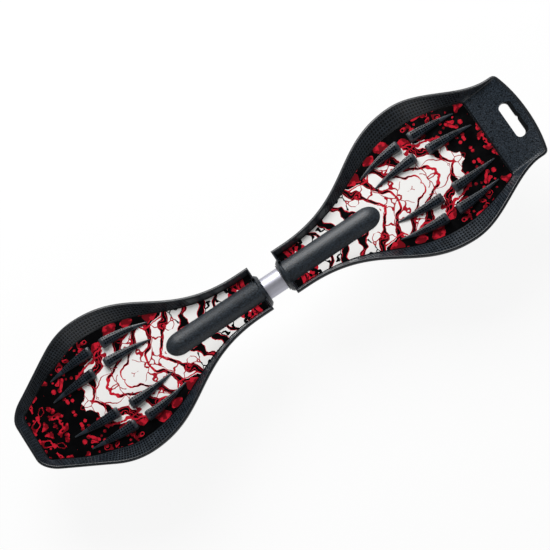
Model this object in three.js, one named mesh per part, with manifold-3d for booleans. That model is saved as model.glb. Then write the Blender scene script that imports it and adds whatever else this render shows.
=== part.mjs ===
// A caster board: two moulded foot decks joined end to end by a torsion tube, each on one trailing
// caster with a leaning pivot. The rider twists the decks against each other to drive it.
// Units are millimetres. +X points to the nose, +Y to the rider's left and +Z up. The origin is on
// the ground, midway along and across the board. Outlines are measured from the middle of the gap
// between the decks, outwards along the board and sideways from its centre line.
import * as THREE from 'three';
import { mergeVertices } from 'three/addons/utils/BufferGeometryUtils.js';
import Module from 'manifold-3d';

const wasm = await Module();
wasm.setup();

// Fits shared by all pieces
const seat_gap = 0.3; // between two pieces that touch or run on each other
const overrun = 2; // how far a cutter or a root runs past the face it meets
const thread_tail = 2; // thread that stands out of a nut

// Both decks
const neck_gap = 40.8; // between the two necks' end faces
const neck_half = 36.5; // half the neck's width
const neck_straight = 19.3; // length of neck with parallel sides
const neck_rim = 8.5; // from the neck's side to the foot floor
const neck_end_rim = 4.5; // from the neck's end to the foot floor
const floor_height = 115; // top of the foot floor above the ground
const skin = 4; // thickness of the moulded floor and walls
const lip_width = 4.6; // rolled lip along the top of the wall
const lip_round = 2.6; // how far the lip's outer side rolls down
const lip_dip = 0.9; // how far its inner side rolls down
const lip_sag = 0.33; // how far its top falls from its crest to the outer side's roll
const skirt_draft = 4; // how far the skirt leans in to its lower edge
const pan_corner = 6; // rounding of the foot floor's corners

// Front deck
const front_reach = 422.9; // from the gap's middle to the nose
const front_widest = 274; // to its widest line
const front_half = 112.3; // half its greatest width
const nose_flat_half = 28; // half the nose's straight edge
const nose_corner_run = 22.9; // length that each nose corner takes
const nose_corner_half = 57.6; // half width where the corner ends
const shoulder_run = 56; // from the widest line to the straight shoulder
const shoulder_drop = 15.6; // how much narrower the deck is there
const shoulder_wall = 23; // wall's width where the straight shoulder starts
const nose_side_wall = 15.5; // wall's width along the shoulder, towards the nose
const front_wing_wall = 26.3; // wall's width at the widest line
const nose_wall = 15.4; // wall's length at the nose
const nose_pan_half = 36; // half the foot floor's edge at the nose

// Rear deck
const rear_reach = 437.9; // from the gap's middle to the tail
const rear_widest = 276;
const rear_half = 115.7;
const tail_half = 69.5; // half the tail's width
const tail_bow = 10.7; // how far its end bows out
const tail_corner = 6; // rounding of its corners
const tail_straight = 12; // length of its parallel sides
const rear_wing_wall = 28.7;
const tail_plate = 68; // length of the tail plate behind the foot floor
const tail_pan_half = 65; // half the foot floor's edge at the tail
const tail_step = 3.2; // step up from the floor to the tail plate
const step_run = 2; // length of that step

// Height of the lip above the foot floor, and the skirt's depth below the lip
const nose_rise = 12;
const nose_skirt = 19;
const wing_rise = 18;
const wing_skirt = 28;
const neck_rise = 12;
const neck_skirt = 25;
const tail_rise = 21;
const tail_skirt = 13;

// Shares that shape the outline's curves, of the length that each curve runs
const flank_neck_share = 0.51;
const flank_wing_share = 0.42;
const shoulder_wing_share = 0.46;
const shoulder_end_share = 0.23;
const shoulder_bend_share = 0.38; // where the foot floor bends, from the shoulder to the nose's corner
const waist_wing_share = 0.36;
const waist_tail_share = 0.32;
const waist_split_share = 0.36;
const nose_corner_share = 0.52;
const waist_pan_share = 0.5; // how far the foot floor's waist has widened at its handle
const tail_split_shares = [0.4, 0.5]; // of the foot floor's corner, where its mitre's ends lie
const corner_pull_share = 0.55; // how far a rounded corner's handles reach to its point
const lip_shares = [1, 0.74, 0.36, 0]; // where the lip's rings lie, of its width
const skirt_edge_share = 0.75; // thickness of the skirt's lower edge, of the skin
const skirt_root_share = 0.25; // how much of its draft the skirt has at its root
const mitre_share = 0.5; // least share of an inset that a sharp corner keeps

// Carry slot in the tail plate
const slot_length = 57;
const slot_width = 14.6;
const slot_edge = 18.5; // from the tail's end to the slot
const slot_scoop = 8; // finger scoop on the tail side
const slot_scoop_depth = 3;
const slot_peak = 1.8; // small point in the middle of the slot's tail side
const slot_peak_half = 3.6; // half that point's length

// Claws that grip the shoe
const claw_length = 72;
const claw_width = 16; // at the blunt end
const claw_tip_width = 2.2;
const claw_height = 11; // above the foot floor, at the blunt end
const claw_tip_height = 2.6;
const claw_places = [
  // toward: 1 is to the deck's free end, -1 to its neck. start_share and toe_share are of the
  // claw's length, from the deck's widest line and sideways. row_share is of the floor's half width.
  { toward: 1, start_share: 0, row_share: 0.73, toe_share: 0.065 },
  { toward: 1, start_share: 0.17, row_share: 0.39, toe_share: 0.055 },
  { toward: -1, start_share: 0.24, row_share: 0.73, toe_share: 0.14 },
  { toward: -1, start_share: 0.1, row_share: 0.41, toe_share: 0.08 },
];
const claw_section_shares = [
  [-1, 0], [-0.93, 0.6], [-0.6, 0.93], [0, 1], [0.6, 0.93], [0.93, 0.6], [1, 0],
];
const claw_end_share = 0.86; // how much of its size the blunt end's rounded edge leaves
const claw_taper_power = 1.4;
const claw_station_shares = [0, 0.05, 0.35, 0.7, 1];

// Ribs under the floor
const rib_thickness = 2.6;
const rib_depth = 9;
const rib_pitch = 52;
const rib_start = 88; // from the gap's middle to the first cross rib
const rib_row_shares = [0.55]; // of the floor's half width, on both sides of its middle

// Torsion tube and its sleeves
const tube_radius = 17;
const tube_wall = 2;
const tube_depth = 16; // from the foot floor's top down to the tube's axis
const tube_half_length = 140;
const sleeve_wall = 4.7; // outside the rear deck's bore
const sleeve_mouth = 15.7; // from the gap's middle to the sleeve's mouth
const sleeve_end = 160.5; // where the sleeve's round nose starts
const sleeve_nose = 30; // length of that round nose
const nose_ring_shares = [0.5, 0.86]; // where that nose's rings lie
const collar_rise = 2; // how far the collar at the mouth stands out past the sleeve
const collar_chamfer = 4;
const bush_wall = 1.7;
const bush_length = 30;
const bush_inset = 5; // from the tube's end to the inner bush
const bush_flange = 1.4; // thickness of the mouth bush's flange
const bush_flange_rise = 1.6; // how far it stands out past the bush
const bar_side = 6; // square spring-steel torsion bar
const bar_inset = 2; // from a bar's end to its socket's far face
const socket_length = 19;
const tube_screw_at = 52; // from the gap's middle to the front tube screw
const screw_boss_radius = 8;
const screw_boss_height = 2;

// Casters: the pivot leans forward, and the wheel trails behind it
const pivot_lean = 30; // degrees from upright
const wheel_radius = 38;
const wheel_trail = 31; // from the pivot's axis to the wheel's centre
const front_wheel_at = 235; // from the gap's middle to the wheel's centre
const rear_wheel_at = 300;
const tyre_width = 24;
const tread_width = 11; // flat of the tread
const tyre_depth = 15.7; // from the tread to the hub
const tyre_lip = 2.2; // how much narrower the tyre is at the hub, each side
const hub_wall = 3.4;
const hub_web = 6;
const hub_boss_wall = 3.2;
const hub_land = 2; // how far the land between the bearings stands in
const hub_windows = 5;
const hub_window_share = 0.62; // of the pitch between windows
const bearing_radius = 11;
const bearing_width = 7;
const bearing_recess = 0.5;
const bearing_ring_share = 0.3; // of the bearing's depth from bore to rim
const axle_radius = 4;
const axle_head_radius = 7.5;
const axle_head = 5;
const washer_radius = 6.3;
const wheel_side_gap = 3; // from the hub's face to the fork's arm
const spacer_radius = 6;
const fork_steel = 4;
const fork_bend = 7; // outer radius of the bends
const fork_eye = 13; // radius round the axle
const fork_clearance = 6; // from the tyre to the fork's crown
const fork_chin_share = 0.7; // curve handles of the fork's side view: of the crown's reach,
const fork_throat_share = 1.3; // of the eye's radius,
const fork_height_shares = [0.55, 0.4, 0.6]; // and of the crown's height
const crown_front = 20; // crown's reach ahead of the pivot
const crown_back = 25; // and behind it
const race_radius = 17;
const race_height = 5;
const race_groove = 1.2;
const lower_race_height = 4;
const kingpin_radius = 5;
const kingpin_head_radius = 9.8;
const kingpin_head = 6;
const kingpin_nut = 6;
const plate_length = 64;
const plate_width = 58;
const plate_steel = 4;
const plate_corner = 8;
const plate_screw_inset = 9; // from the plate's edges to its screws
const pedestal_margin = 3; // pedestal's edge past the plate
const pedestal_draft = 4; // how much wider it is at the deck
const pocket_clearance = 3; // round the kingpin's head, for a spanner

// Screws
const screw_radius = 3;
const screw_head_radius = 5.4;
const screw_head = 3.4;
const screw_crown_share = 0.62; // of the head's radius, where its crown is flat
const screw_length = 16;
const screw_socket_radius = 2.4;
const screw_socket_depth = 1.8;

// Printed sheet on the foot floor
const print_thickness = 0.6;
const print_margin = 0.6; // from the sheet's edge to the wall

// How finely round forms are divided
const fine_facets = 20;
const facets = 12;
const coarse_facets = 8;
const hex = 6;
const shoulder_steps = 2; // of the tyre's rounded shoulder
const weld = 1e-4; // points nearer than this are one

// Places worked out from the sizes above
const gap_x = (rear_reach - front_reach) / 2;
const tube_height = floor_height - tube_depth;
const lean = THREE.MathUtils.degToRad(pivot_lean);
const pan_half_of = { front: front_half - front_wing_wall, rear: rear_half - rear_wing_wall };
const bush_inner = tube_radius + seat_gap;
const bush_outer = bush_inner + bush_wall;
const rear_bore = bush_outer + seat_gap;
const sleeve_radius = rear_bore + sleeve_wall;
const collar_radius = sleeve_radius + collar_rise;
const front_socket_from = tube_half_length - socket_length;
const rear_socket_from = -sleeve_end + seat_gap;
const front_screws_at = [tube_screw_at, front_socket_from + socket_length / 2];
const rear_screws_at = [-rear_socket_from - socket_length / 2];
const hub_radius = wheel_radius - tyre_depth;
const axle_bore = axle_radius + seat_gap;
const kingpin_bore = kingpin_radius + seat_gap;
const screw_bore = screw_radius + seat_gap;
const arm_inner = tyre_width / 2 + wheel_side_gap;
const arm_outer = arm_inner + fork_steel;
const fork_inner_bend = fork_bend - fork_steel;
const lower_race_radius = arm_inner - fork_inner_bend - seat_gap;
const crown_low = wheel_radius + fork_clearance;
const crown_top = crown_low + fork_steel;
const plate_low = crown_top + race_height + 2 * seat_gap;
const plate_top = plate_low + plate_steel;
const pedestal_face = plate_top + seat_gap;
const lower_race_low = crown_low - seat_gap - lower_race_height;
const kingpin_nut_top = lower_race_low - seat_gap;

const materials = {
  deck: new THREE.MeshStandardMaterial({ color: 0x23272b, roughness: 0.55, metalness: 0 }),
  print: new THREE.MeshStandardMaterial({ color: 0xb01c2c, roughness: 0.35, metalness: 0 }),
  tube: new THREE.MeshStandardMaterial({ color: 0xc9cad0, roughness: 0.3, metalness: 1 }),
  spring: new THREE.MeshStandardMaterial({ color: 0x55585c, roughness: 0.45, metalness: 1 }),
  nylon: new THREE.MeshStandardMaterial({ color: 0x2c2d2f, roughness: 0.5, metalness: 0 }),
  steel: new THREE.MeshStandardMaterial({ color: 0xa9acb0, roughness: 0.35, metalness: 1 }),
  zinc: new THREE.MeshStandardMaterial({ color: 0xc4c6c8, roughness: 0.25, metalness: 1 }),
  tyre: new THREE.MeshStandardMaterial({ color: 0x1b1c1e, roughness: 0.4, metalness: 0 }),
  hub: new THREE.MeshStandardMaterial({ color: 0x9a1c26, roughness: 0.4, metalness: 0 }),
};

// Solids: a closed geometry becomes a solid, so that pieces can be joined and cut

function toSolid(geometry) {
  const bare = geometry.clone();
  bare.deleteAttribute('normal');
  bare.deleteAttribute('uv');
  const merged = mergeVertices(bare, weld);
  const index = merged.index.array;
  const kept = [];
  for (let i = 0; i < index.length; i += 3) {
    const [a, b, c] = [index[i], index[i + 1], index[i + 2]];
    if (a !== b && b !== c && c !== a) kept.push(a, b, c);
  }
  const mesh = new wasm.Mesh({
    numProp: 3,
    vertProperties: new Float32Array(merged.attributes.position.array),
    triVerts: new Uint32Array(kept),
  });
  const made = new wasm.Manifold(mesh);
  return made.volume() < 0 ? new wasm.Manifold(flipped(mesh)) : made;
}

function flipped(mesh) {
  const turned = new Uint32Array(mesh.triVerts);
  for (let i = 0; i < turned.length; i += 3) {
    [turned[i + 1], turned[i + 2]] = [turned[i + 2], turned[i + 1]];
  }
  return new wasm.Mesh({ numProp: 3, vertProperties: mesh.vertProperties, triVerts: turned });
}

function toGeometry(made) {
  const mesh = made.getMesh();
  const geometry = new THREE.BufferGeometry();
  geometry.setAttribute('position', new THREE.BufferAttribute(new Float32Array(mesh.vertProperties), 3));
  geometry.setIndex(new THREE.BufferAttribute(new Uint32Array(mesh.triVerts), 1));
  geometry.computeVertexNormals();
  return geometry;
}

function joined(solids) {
  return solids.reduce((whole, next) => whole.add(next));
}

function cut(whole, cutters) {
  return cutters.reduce((rest, cutter) => rest.subtract(cutter), whole);
}

// Forms

// A closed solid through matching rings of points, with a flat cap on its first and last ring.
// The caps are triangulated as seen along the axis named in cap_plane.
function loft(rings, cap_plane = 'xy') {
  const count = rings[0].length;
  const positions = rings.flat().flatMap((p) => [p.x, p.y, p.z]);
  const index = [];
  for (let r = 0; r + 1 < rings.length; r += 1) {
    for (let i = 0; i < count; i += 1) {
      const j = (i + 1) % count;
      const [a, b] = [r * count + i, r * count + j];
      const [c, d] = [a + count, b + count];
      index.push(a, b, d, a, d, c);
    }
  }
  const [u, v] = cap_plane;
  const flat = (ring) => ring.map((p) => new THREE.Vector2(p[u], p[v]));
  const last = (rings.length - 1) * count;
  for (const [a, b, c] of THREE.ShapeUtils.triangulateShape(flat(rings[0]), [])) {
    index.push(...capTurn(a, b, c, rings[0], u, v, false));
  }
  for (const [a, b, c] of THREE.ShapeUtils.triangulateShape(flat(rings.at(-1)), [])) {
    const turned = capTurn(a, b, c, rings.at(-1), u, v, true);
    index.push(...turned.map((k) => k + last));
  }
  const geometry = new THREE.BufferGeometry();
  geometry.setAttribute('position', new THREE.Float32BufferAttribute(positions, 3));
  geometry.setIndex(index);
  return toSolid(geometry);
}

// One cap triangle, turned to agree with its ring's own direction
function capTurn(a, b, c, ring, u, v, same) {
  const area = (i, j, k) =>
    (ring[j][u] - ring[i][u]) * (ring[k][v] - ring[i][v])
    - (ring[k][u] - ring[i][u]) * (ring[j][v] - ring[i][v]);
  const around = THREE.ShapeUtils.area(ring.map((p) => new THREE.Vector2(p[u], p[v])));
  const agrees = area(a, b, c) > 0 === around > 0;
  return agrees === same ? [a, b, c] : [a, c, b];
}

// A solid of revolution about an axis, from [radius, distance along the axis] points
function turned(profile, axis = 'z', sides = facets) {
  const points = profile.map(([radius, along]) => new THREE.Vector2(radius, along));
  const geometry = new THREE.LatheGeometry(points, sides);
  geometry.rotateY(Math.PI / sides);
  if (axis === 'z') geometry.rotateX(Math.PI / 2);
  if (axis === 'x') geometry.rotateZ(-Math.PI / 2);
  return toSolid(geometry);
}

function rod(radius, from, to, axis, sides) {
  return turned([[0, from], [radius, from], [radius, to], [0, to]], axis, sides);
}

function ring(inner, outer, from, to, axis, sides) {
  return turned([[inner, from], [outer, from], [outer, to], [inner, to], [inner, from]], axis, sides);
}

// A flat outline given a thickness. It lies in XY and rises along Z until it is turned.
function slab(shape, from, to, steps = 6) {
  const options = { depth: to - from, bevelEnabled: false, curveSegments: steps };
  const geometry = new THREE.ExtrudeGeometry(shape, options);
  geometry.translate(0, 0, from);
  return toSolid(geometry);
}

// A side view, drawn in X and Z, given a width from one Y to another
function sideSlab(shape, from, to, steps) {
  return slab(shape, -to, -from, steps).rotate([90, 0, 0]);
}

function roundedRectangle(length, width, corner) {
  const [x, y] = [length / 2, width / 2];
  const shape = new THREE.Shape();
  shape.moveTo(-x + corner, -y);
  shape.lineTo(x - corner, -y);
  shape.absarc(x - corner, -y + corner, corner, -Math.PI / 2, 0);
  shape.lineTo(x, y - corner);
  shape.absarc(x - corner, y - corner, corner, 0, Math.PI / 2);
  shape.lineTo(-x + corner, y);
  shape.absarc(-x + corner, y - corner, corner, Math.PI / 2, Math.PI);
  shape.lineTo(-x, -y + corner);
  shape.absarc(-x + corner, -y + corner, corner, Math.PI, 1.5 * Math.PI);
  return shape;
}

function box(from, to) {
  const size = new THREE.Vector3().subVectors(to, from);
  const geometry = new THREE.BoxGeometry(size.x, size.y, size.z);
  geometry.translate((from.x + to.x) / 2, (from.y + to.y) / 2, (from.z + to.z) / 2);
  return toSolid(geometry);
}

// Deck outlines. A deck's half outline runs from the middle of its free end to the middle of its
// neck. The lip's and the floor's outlines have the same stretches with as many points in each,
// so that one can be lofted to the other and their corners meet in mitres.

const point = (x, y) => new THREE.Vector2(x, y);
const line = (from, to) => new THREE.LineCurve(from, to);
const bend = (...points) => new THREE.CubicBezierCurve(...points);

function towards(from, to, length) {
  return to.clone().sub(from).setLength(length).add(from);
}

function flankStretches(widest, half, neck, neck_end) {
  const start = point(neck_gap / 2 + neck_straight, neck);
  const run = widest - start.x;
  const top = point(widest, half);
  const toNeck = point(start.x + run * flank_neck_share, neck);
  const toWing = point(widest - run * flank_wing_share, half);
  const corner = point(neck_end, neck);
  return [
    { curve: bend(top, toWing, toNeck, start), steps: 8 },
    { curve: line(start, corner), steps: 1 },
    { curve: line(corner, point(neck_end, 0)), steps: 1 },
  ];
}

// A rounded corner between two straight stretches, whose radius is about the given size
function cornerCurve(before, corner, after, size) {
  const from = towards(corner, before, size);
  const to = towards(corner, after, size);
  const pull = (end) => end.clone().lerp(corner, corner_pull_share);
  return bend(from, pull(from), pull(to), to);
}

function frontOuter() {
  const top = point(front_widest, front_half);
  const shoulder = point(front_widest + shoulder_run, front_half - shoulder_drop);
  const corner = point(front_reach - nose_corner_run, nose_corner_half);
  const flat = point(front_reach, nose_flat_half);
  const cornerOut = towards(corner, shoulder, -nose_corner_run * nose_corner_share);
  const flatOut = point(front_reach, nose_flat_half + nose_corner_run * nose_corner_share);
  const bendIn = towards(shoulder, corner, -shoulder_run * shoulder_end_share);
  const bendOut = point(front_widest + shoulder_run * shoulder_wing_share, front_half);
  return [
    { curve: line(point(front_reach, 0), flat), steps: 1 },
    { curve: bend(flat, flatOut, cornerOut, corner), steps: 4 },
    { curve: line(corner, shoulder), steps: 3 },
    { curve: bend(shoulder, bendIn, bendOut, top), steps: 4 },
    ...flankStretches(front_widest, front_half, neck_half, neck_gap / 2),
  ];
}

function frontPan() {
  const half = pan_half_of.front;
  const top = point(front_widest, half);
  const outerShoulder = point(front_widest + shoulder_run, front_half - shoulder_drop);
  const outerCorner = point(front_reach - nose_corner_run, nose_corner_half);
  const along = outerCorner.clone().sub(outerShoulder).normalize();
  const inward = point(along.y, -along.x);
  const shoulder = outerShoulder.clone().addScaledVector(inward, shoulder_wall);
  const knee = outerShoulder.clone().lerp(outerCorner, shoulder_bend_share)
    .addScaledVector(inward, nose_side_wall);
  const corner = point(front_reach - nose_wall, nose_pan_half);
  const middle = point(corner.x, 0);
  const cornerEnd = towards(corner, knee, pan_corner);
  const bendIn = towards(shoulder, knee, -shoulder_run * shoulder_end_share);
  const bendOut = point(front_widest + shoulder_run * shoulder_wing_share, half);
  return [
    { curve: line(middle, towards(corner, middle, pan_corner)), steps: 1 },
    { curve: cornerCurve(middle, corner, knee, pan_corner), steps: 4 },
    { curve: bend(cornerEnd, knee, knee, shoulder), steps: 3 },
    { curve: bend(shoulder, bendIn, bendOut, top), steps: 4 },
    ...flankStretches(front_widest, half, neck_half - neck_rim, neck_gap / 2 + neck_end_rim),
  ];
}

function rearOuter() {
  const corner = point(rear_reach - tail_bow, tail_half);
  const waistStart = point(corner.x - tail_straight, tail_half);
  const run = waistStart.x - rear_widest;
  const waist = bend(
    waistStart,
    point(waistStart.x - run * waist_tail_share, tail_half),
    point(rear_widest + run * waist_wing_share, rear_half),
    point(rear_widest, rear_half),
  );
  const bow = point(rear_reach, 0);
  const bowEnd = towards(corner, point(rear_reach, tail_half / 2), tail_corner);
  const bowed = new THREE.QuadraticBezierCurve(bow, point(rear_reach, tail_half / 2), bowEnd);
  return [
    { curve: bowed, steps: 3 },
    { curve: cornerCurve(bowEnd, corner, waistStart, tail_corner), steps: 3 },
    { curve: line(towards(corner, waistStart, tail_corner), waistStart), steps: 1 },
    { curve: waist, steps: 3, until: waist_split_share },
    { curve: waist, steps: 5, since: waist_split_share },
    ...flankStretches(rear_widest, rear_half, neck_half, neck_gap / 2),
  ];
}

function rearPan() {
  const half = pan_half_of.rear;
  const corner = point(rear_reach - tail_plate, tail_pan_half);
  const top = point(rear_widest, half);
  const run = corner.x - rear_widest;
  const widened = THREE.MathUtils.lerp(tail_pan_half, half, waist_pan_share);
  const lead = point(corner.x - run * waist_tail_share, widened);
  const middle = point(corner.x, 0);
  const start = towards(corner, lead, pan_corner);
  const side = bend(start, lead, point(rear_widest + run * waist_wing_share, half), top);
  const rounded = cornerCurve(middle, corner, start, pan_corner);
  const [mitre, side_start] = tail_split_shares;
  return [
    { curve: line(middle, towards(corner, middle, pan_corner)), steps: 3 },
    { curve: rounded, steps: 3, until: mitre },
    { curve: rounded, steps: 1, since: mitre, until: side_start },
    { curve: rounded, steps: 3, since: side_start },
    { curve: side, steps: 5 },
    ...flankStretches(rear_widest, half, neck_half - neck_rim, neck_gap / 2 + neck_end_rim),
  ];
}

// The points of a half outline, and its mirror image, as one closed loop
function closedLoop(stretches) {
  const half = [];
  for (const { curve, steps, since = 0, until = 1 } of stretches) {
    for (let i = 0; i < steps; i += 1) {
      half.push(curve.getPoint(THREE.MathUtils.lerp(since, until, i / steps)));
    }
  }
  half.push(stretches.at(-1).curve.getPoint(1));
  const mirrored = half.slice(1, -1).reverse().map((p) => point(p.x, -p.y));
  return [...half, ...mirrored];
}

// A value for each point of a loop, eased from each stretch's start to the next one's
function alongLoop(stretches, values) {
  const half = [];
  stretches.forEach(({ steps }, s) => {
    for (let i = 0; i < steps; i += 1) {
      const eased = THREE.MathUtils.smoothstep(i, 0, steps);
      half.push(THREE.MathUtils.lerp(values[s], values[s + 1], eased));
    }
  });
  half.push(values.at(-1));
  return [...half, ...half.slice(1, -1).reverse()];
}

// A loop moved inwards by the same distance all round, with mitred corners
function inset(loop, distance) {
  return loop.map((p, i) => {
    const before = p.clone().sub(loop.at(i - 1)).normalize();
    const after = loop[(i + 1) % loop.length].clone().sub(p).normalize();
    const across = point(-before.y, before.x);
    const inward = point(-after.y, after.x).add(across).normalize();
    return p.clone().addScaledVector(inward, distance / Math.max(inward.dot(across), mitre_share));
  });
}

// A loop inside a deck's outline, nearer to it at the neck's end, where the rim is thinner
function rimLoop(outer, distance) {
  const end = neck_gap / 2;
  const narrowed = (distance * neck_end_rim) / neck_rim;
  return inset(outer, distance).map((p, i) => (
    outer[i].x > end ? p : point(end + narrowed, p.y)
  ));
}

// The moulded tray: floor, sloping wall, rolled lip and skirt, all lofted round one outline
function trayRings(deck) {
  const { outer, pan, rises, skirts, steps_up } = deck;
  const high = (loop, level) => loop.map((p, i) => new THREE.Vector3(p.x, p.y, level(i)));
  const lipTop = (i) => floor_height + rises[i];
  const wallRun = (i) => Math.max(pan[i].distanceTo(outer[i]) - lip_width, step_run);
  const stepLevel = (i) => Math.max(steps_up[i], (rises[i] * step_run) / wallRun(i));
  const stepped = pan.map((p, i) => towards(p, outer[i], step_run));
  const lipLevels = [-lip_dip, 0, -lip_sag, -lip_round];
  return [
    high(pan, () => floor_height),
    high(stepped, (i) => floor_height + Math.min(stepLevel(i), rises[i] - lip_dip)),
    ...lip_shares.map((share, k) => (
      high(rimLoop(outer, lip_width * share), (i) => lipTop(i) + lipLevels[k])
    )),
    high(rimLoop(outer, skirt_draft), (i) => lipTop(i) - skirts[i]),
    high(rimLoop(outer, skirt_draft + skin * skirt_edge_share), (i) => lipTop(i) - skirts[i]),
    high(rimLoop(outer, skirt_draft * skirt_root_share + skin), (i) => lipTop(i) - lip_round - skin),
    high(pan, () => floor_height - skin),
  ];
}

function makeDeck(outerStretches, panStretches, rise_values, skirt_values, step_values) {
  return {
    outer: closedLoop(outerStretches),
    pan: closedLoop(panStretches),
    rises: alongLoop(outerStretches, rise_values),
    skirts: alongLoop(outerStretches, skirt_values),
    steps_up: alongLoop(outerStretches, step_values),
  };
}

const front = {
  ...makeDeck(
    frontOuter(),
    frontPan(),
    [nose_rise, nose_rise, nose_rise, wing_rise, wing_rise, neck_rise, neck_rise, neck_rise],
    [nose_skirt, nose_skirt, nose_skirt, wing_skirt, wing_skirt, neck_skirt, neck_skirt, neck_skirt],
    [0, 0, 0, 0, 0, 0, 0, 0],
  ),
  widest: front_widest,
  pan_half: pan_half_of.front,
  pan_end: front_reach - nose_wall,
  bore: tube_radius + seat_gap,
  bore_end: tube_half_length + seat_gap,
};

const rear = {
  ...makeDeck(
    rearOuter(),
    rearPan(),
    [...Array(4).fill(tail_rise), wing_rise, wing_rise, neck_rise, neck_rise, neck_rise],
    [...Array(4).fill(tail_skirt), wing_skirt, wing_skirt, neck_skirt, neck_skirt, neck_skirt],
    [...Array(4).fill(tail_step), 0, 0, 0, 0, 0],
  ),
  widest: rear_widest,
  pan_half: pan_half_of.rear,
  pan_end: rear_reach - tail_plate,
  bore: rear_bore,
  bore_end: sleeve_end,
};

// Claws: a spine that toes in, with a section that narrows and sinks from the blunt end to the tip

// Where the claw's spine is at a share of its length, and how wide and high it is there
function clawStation(deck, place, share) {
  const taper = 1 - share ** claw_taper_power;
  return {
    x: deck.widest + place.toward * (place.start_share + share) * claw_length,
    y: place.row_share * deck.pan_half - place.toe_share * claw_length * share * share,
    half: (claw_tip_width + (claw_width - claw_tip_width) * taper) / 2,
    top: claw_tip_height + (claw_height - claw_tip_height) * (1 - share),
  };
}

function claw(deck, place, side) {
  const rings = claw_station_shares.map((share) => {
    const { x, y, half, top } = clawStation(deck, place, share);
    const fade = share === 0 ? claw_end_share : 1;
    return claw_section_shares.map(([across, up]) => {
      const z = up === 0 ? floor_height - skin / 2 : floor_height + top * fade * up;
      return new THREE.Vector3(x, side * (y + across * half * fade), z);
    });
  });
  return loft(rings, 'yz');
}

// All claws of a deck, none of which passes the wall's foot
function claws(deck) {
  const high = floor_height + claw_height + overrun;
  const room = slab(new THREE.Shape(deck.pan), floor_height - skin, high);
  const all = claw_places.flatMap((place) => [1, -1].map((side) => claw(deck, place, side)));
  return all.map((made) => made.intersect(room));
}

// The holes that the claws need in a sheet, grown by a gap all round
function clawHoles(deck, grow, low, high) {
  return claw_places.flatMap((place) => [1, -1].map((side) => {
    const stations = claw_station_shares.filter((share) => share !== claw_station_shares[1]);
    const across = (share, edge) => {
      const { x, y, half } = clawStation(deck, place, share);
      const past = (share === 0 ? -grow : 0) + (share === 1 ? grow : 0);
      return point(x + place.toward * past, side * (y + edge * (half + grow)));
    };
    const there = stations.map((share) => across(share, 1));
    const back = stations.map((share) => across(share, -1)).reverse();
    return slab(new THREE.Shape([...there, ...back]), low, high);
  }));
}

// The sleeve that holds the torsion tube: a collar at its mouth and a rounded far end

function sleeve(grow = 0) {
  const radius = sleeve_radius + grow;
  const nose = nose_ring_shares.map((share) => [
    radius * Math.sqrt(1 - share * share),
    sleeve_end + (sleeve_nose + grow) * share,
  ]);
  const profile = [
    [0, sleeve_mouth - grow],
    [collar_radius - collar_chamfer + grow, sleeve_mouth - grow],
    [collar_radius + grow, sleeve_mouth + collar_chamfer],
    [collar_radius + grow, neck_gap / 2],
    [radius, neck_gap / 2 + collar_rise],
    [radius, sleeve_end],
    ...nose,
    [0, sleeve_end + sleeve_nose + grow],
  ];
  return turned(profile, 'x', fine_facets).translate([0, 0, tube_height]);
}

// What the rim at the neck's end leaves open, where the sleeve passes over it
function sleeveNotch() {
  const half = Math.sqrt(sleeve_radius ** 2 - tube_depth ** 2);
  const near = neck_gap / 2 - overrun;
  const far = neck_gap / 2 + neck_end_rim + overrun;
  const high = floor_height + neck_rise + overrun;
  return box(new THREE.Vector3(near, -half, floor_height), new THREE.Vector3(far, half, high));
}

function screwBoss(at) {
  const low = tube_height - sleeve_radius - screw_boss_height;
  return rod(screw_boss_radius, low, tube_height - rear_bore, 'z', facets).translate([at, 0, 0]);
}

function tubeScrewHole(at) {
  const low = tube_height - sleeve_radius - screw_boss_height;
  return rod(screw_bore, low - overrun, tube_height, 'z', coarse_facets).translate([at, 0, 0]);
}

// Where a loop crosses the line on which one coordinate has the given value, as the least and the
// greatest value of the other coordinate
function spanAt(loop, fixed, free, value) {
  const crossings = [];
  loop.forEach((to, i) => {
    const from = loop.at(i - 1);
    const share = (value - from[fixed]) / (to[fixed] - from[fixed]);
    if (share >= 0 && share <= 1) crossings.push(THREE.MathUtils.lerp(from[free], to[free], share));
  });
  return [Math.min(...crossings), Math.max(...crossings)];
}

// Ribs under the floor: cross ribs and long ribs, each as long as the floor is there
function ribs(deck) {
  const low = floor_height - skin - rib_depth;
  const high = floor_height - skin / 2;
  const half = rib_thickness / 2;
  const made = [];
  for (let x = rib_start; x < deck.pan_end - rib_pitch / 2; x += rib_pitch) {
    const [right, left] = spanAt(deck.pan, 'x', 'y', x);
    made.push(box(new THREE.Vector3(x - half, right, low), new THREE.Vector3(x + half, left, high)));
  }
  for (const share of rib_row_shares) {
    const y = share * deck.pan_half;
    const [near, far] = spanAt(deck.pan, 'y', 'x', y);
    const long = box(new THREE.Vector3(near, y - half, low), new THREE.Vector3(far, y + half, high));
    made.push(long, long.mirror([0, 1, 0]));
  }
  return made;
}

// Carry slot: a long hole with round ends, a small point on its tail side and a finger scoop

function slotShape(grow) {
  const r = slot_width / 2;
  const y = slot_length / 2 - r;
  const far = r + grow;
  const pull = r * (1 - corner_pull_share);
  const shape = new THREE.Shape();
  shape.moveTo(-r, -y);
  shape.absarc(0, -y, r, Math.PI, 1.5 * Math.PI);
  shape.bezierCurveTo(far * corner_pull_share, -y - r, far, -y - pull, far, -y);
  shape.lineTo(far, -slot_peak_half);
  shape.lineTo(far + slot_peak, 0);
  shape.lineTo(far, slot_peak_half);
  shape.lineTo(far, y);
  shape.bezierCurveTo(far, y + pull, far * corner_pull_share, y + r, 0, y + r);
  shape.absarc(0, y, r, Math.PI / 2, Math.PI);
  return shape;
}

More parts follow.
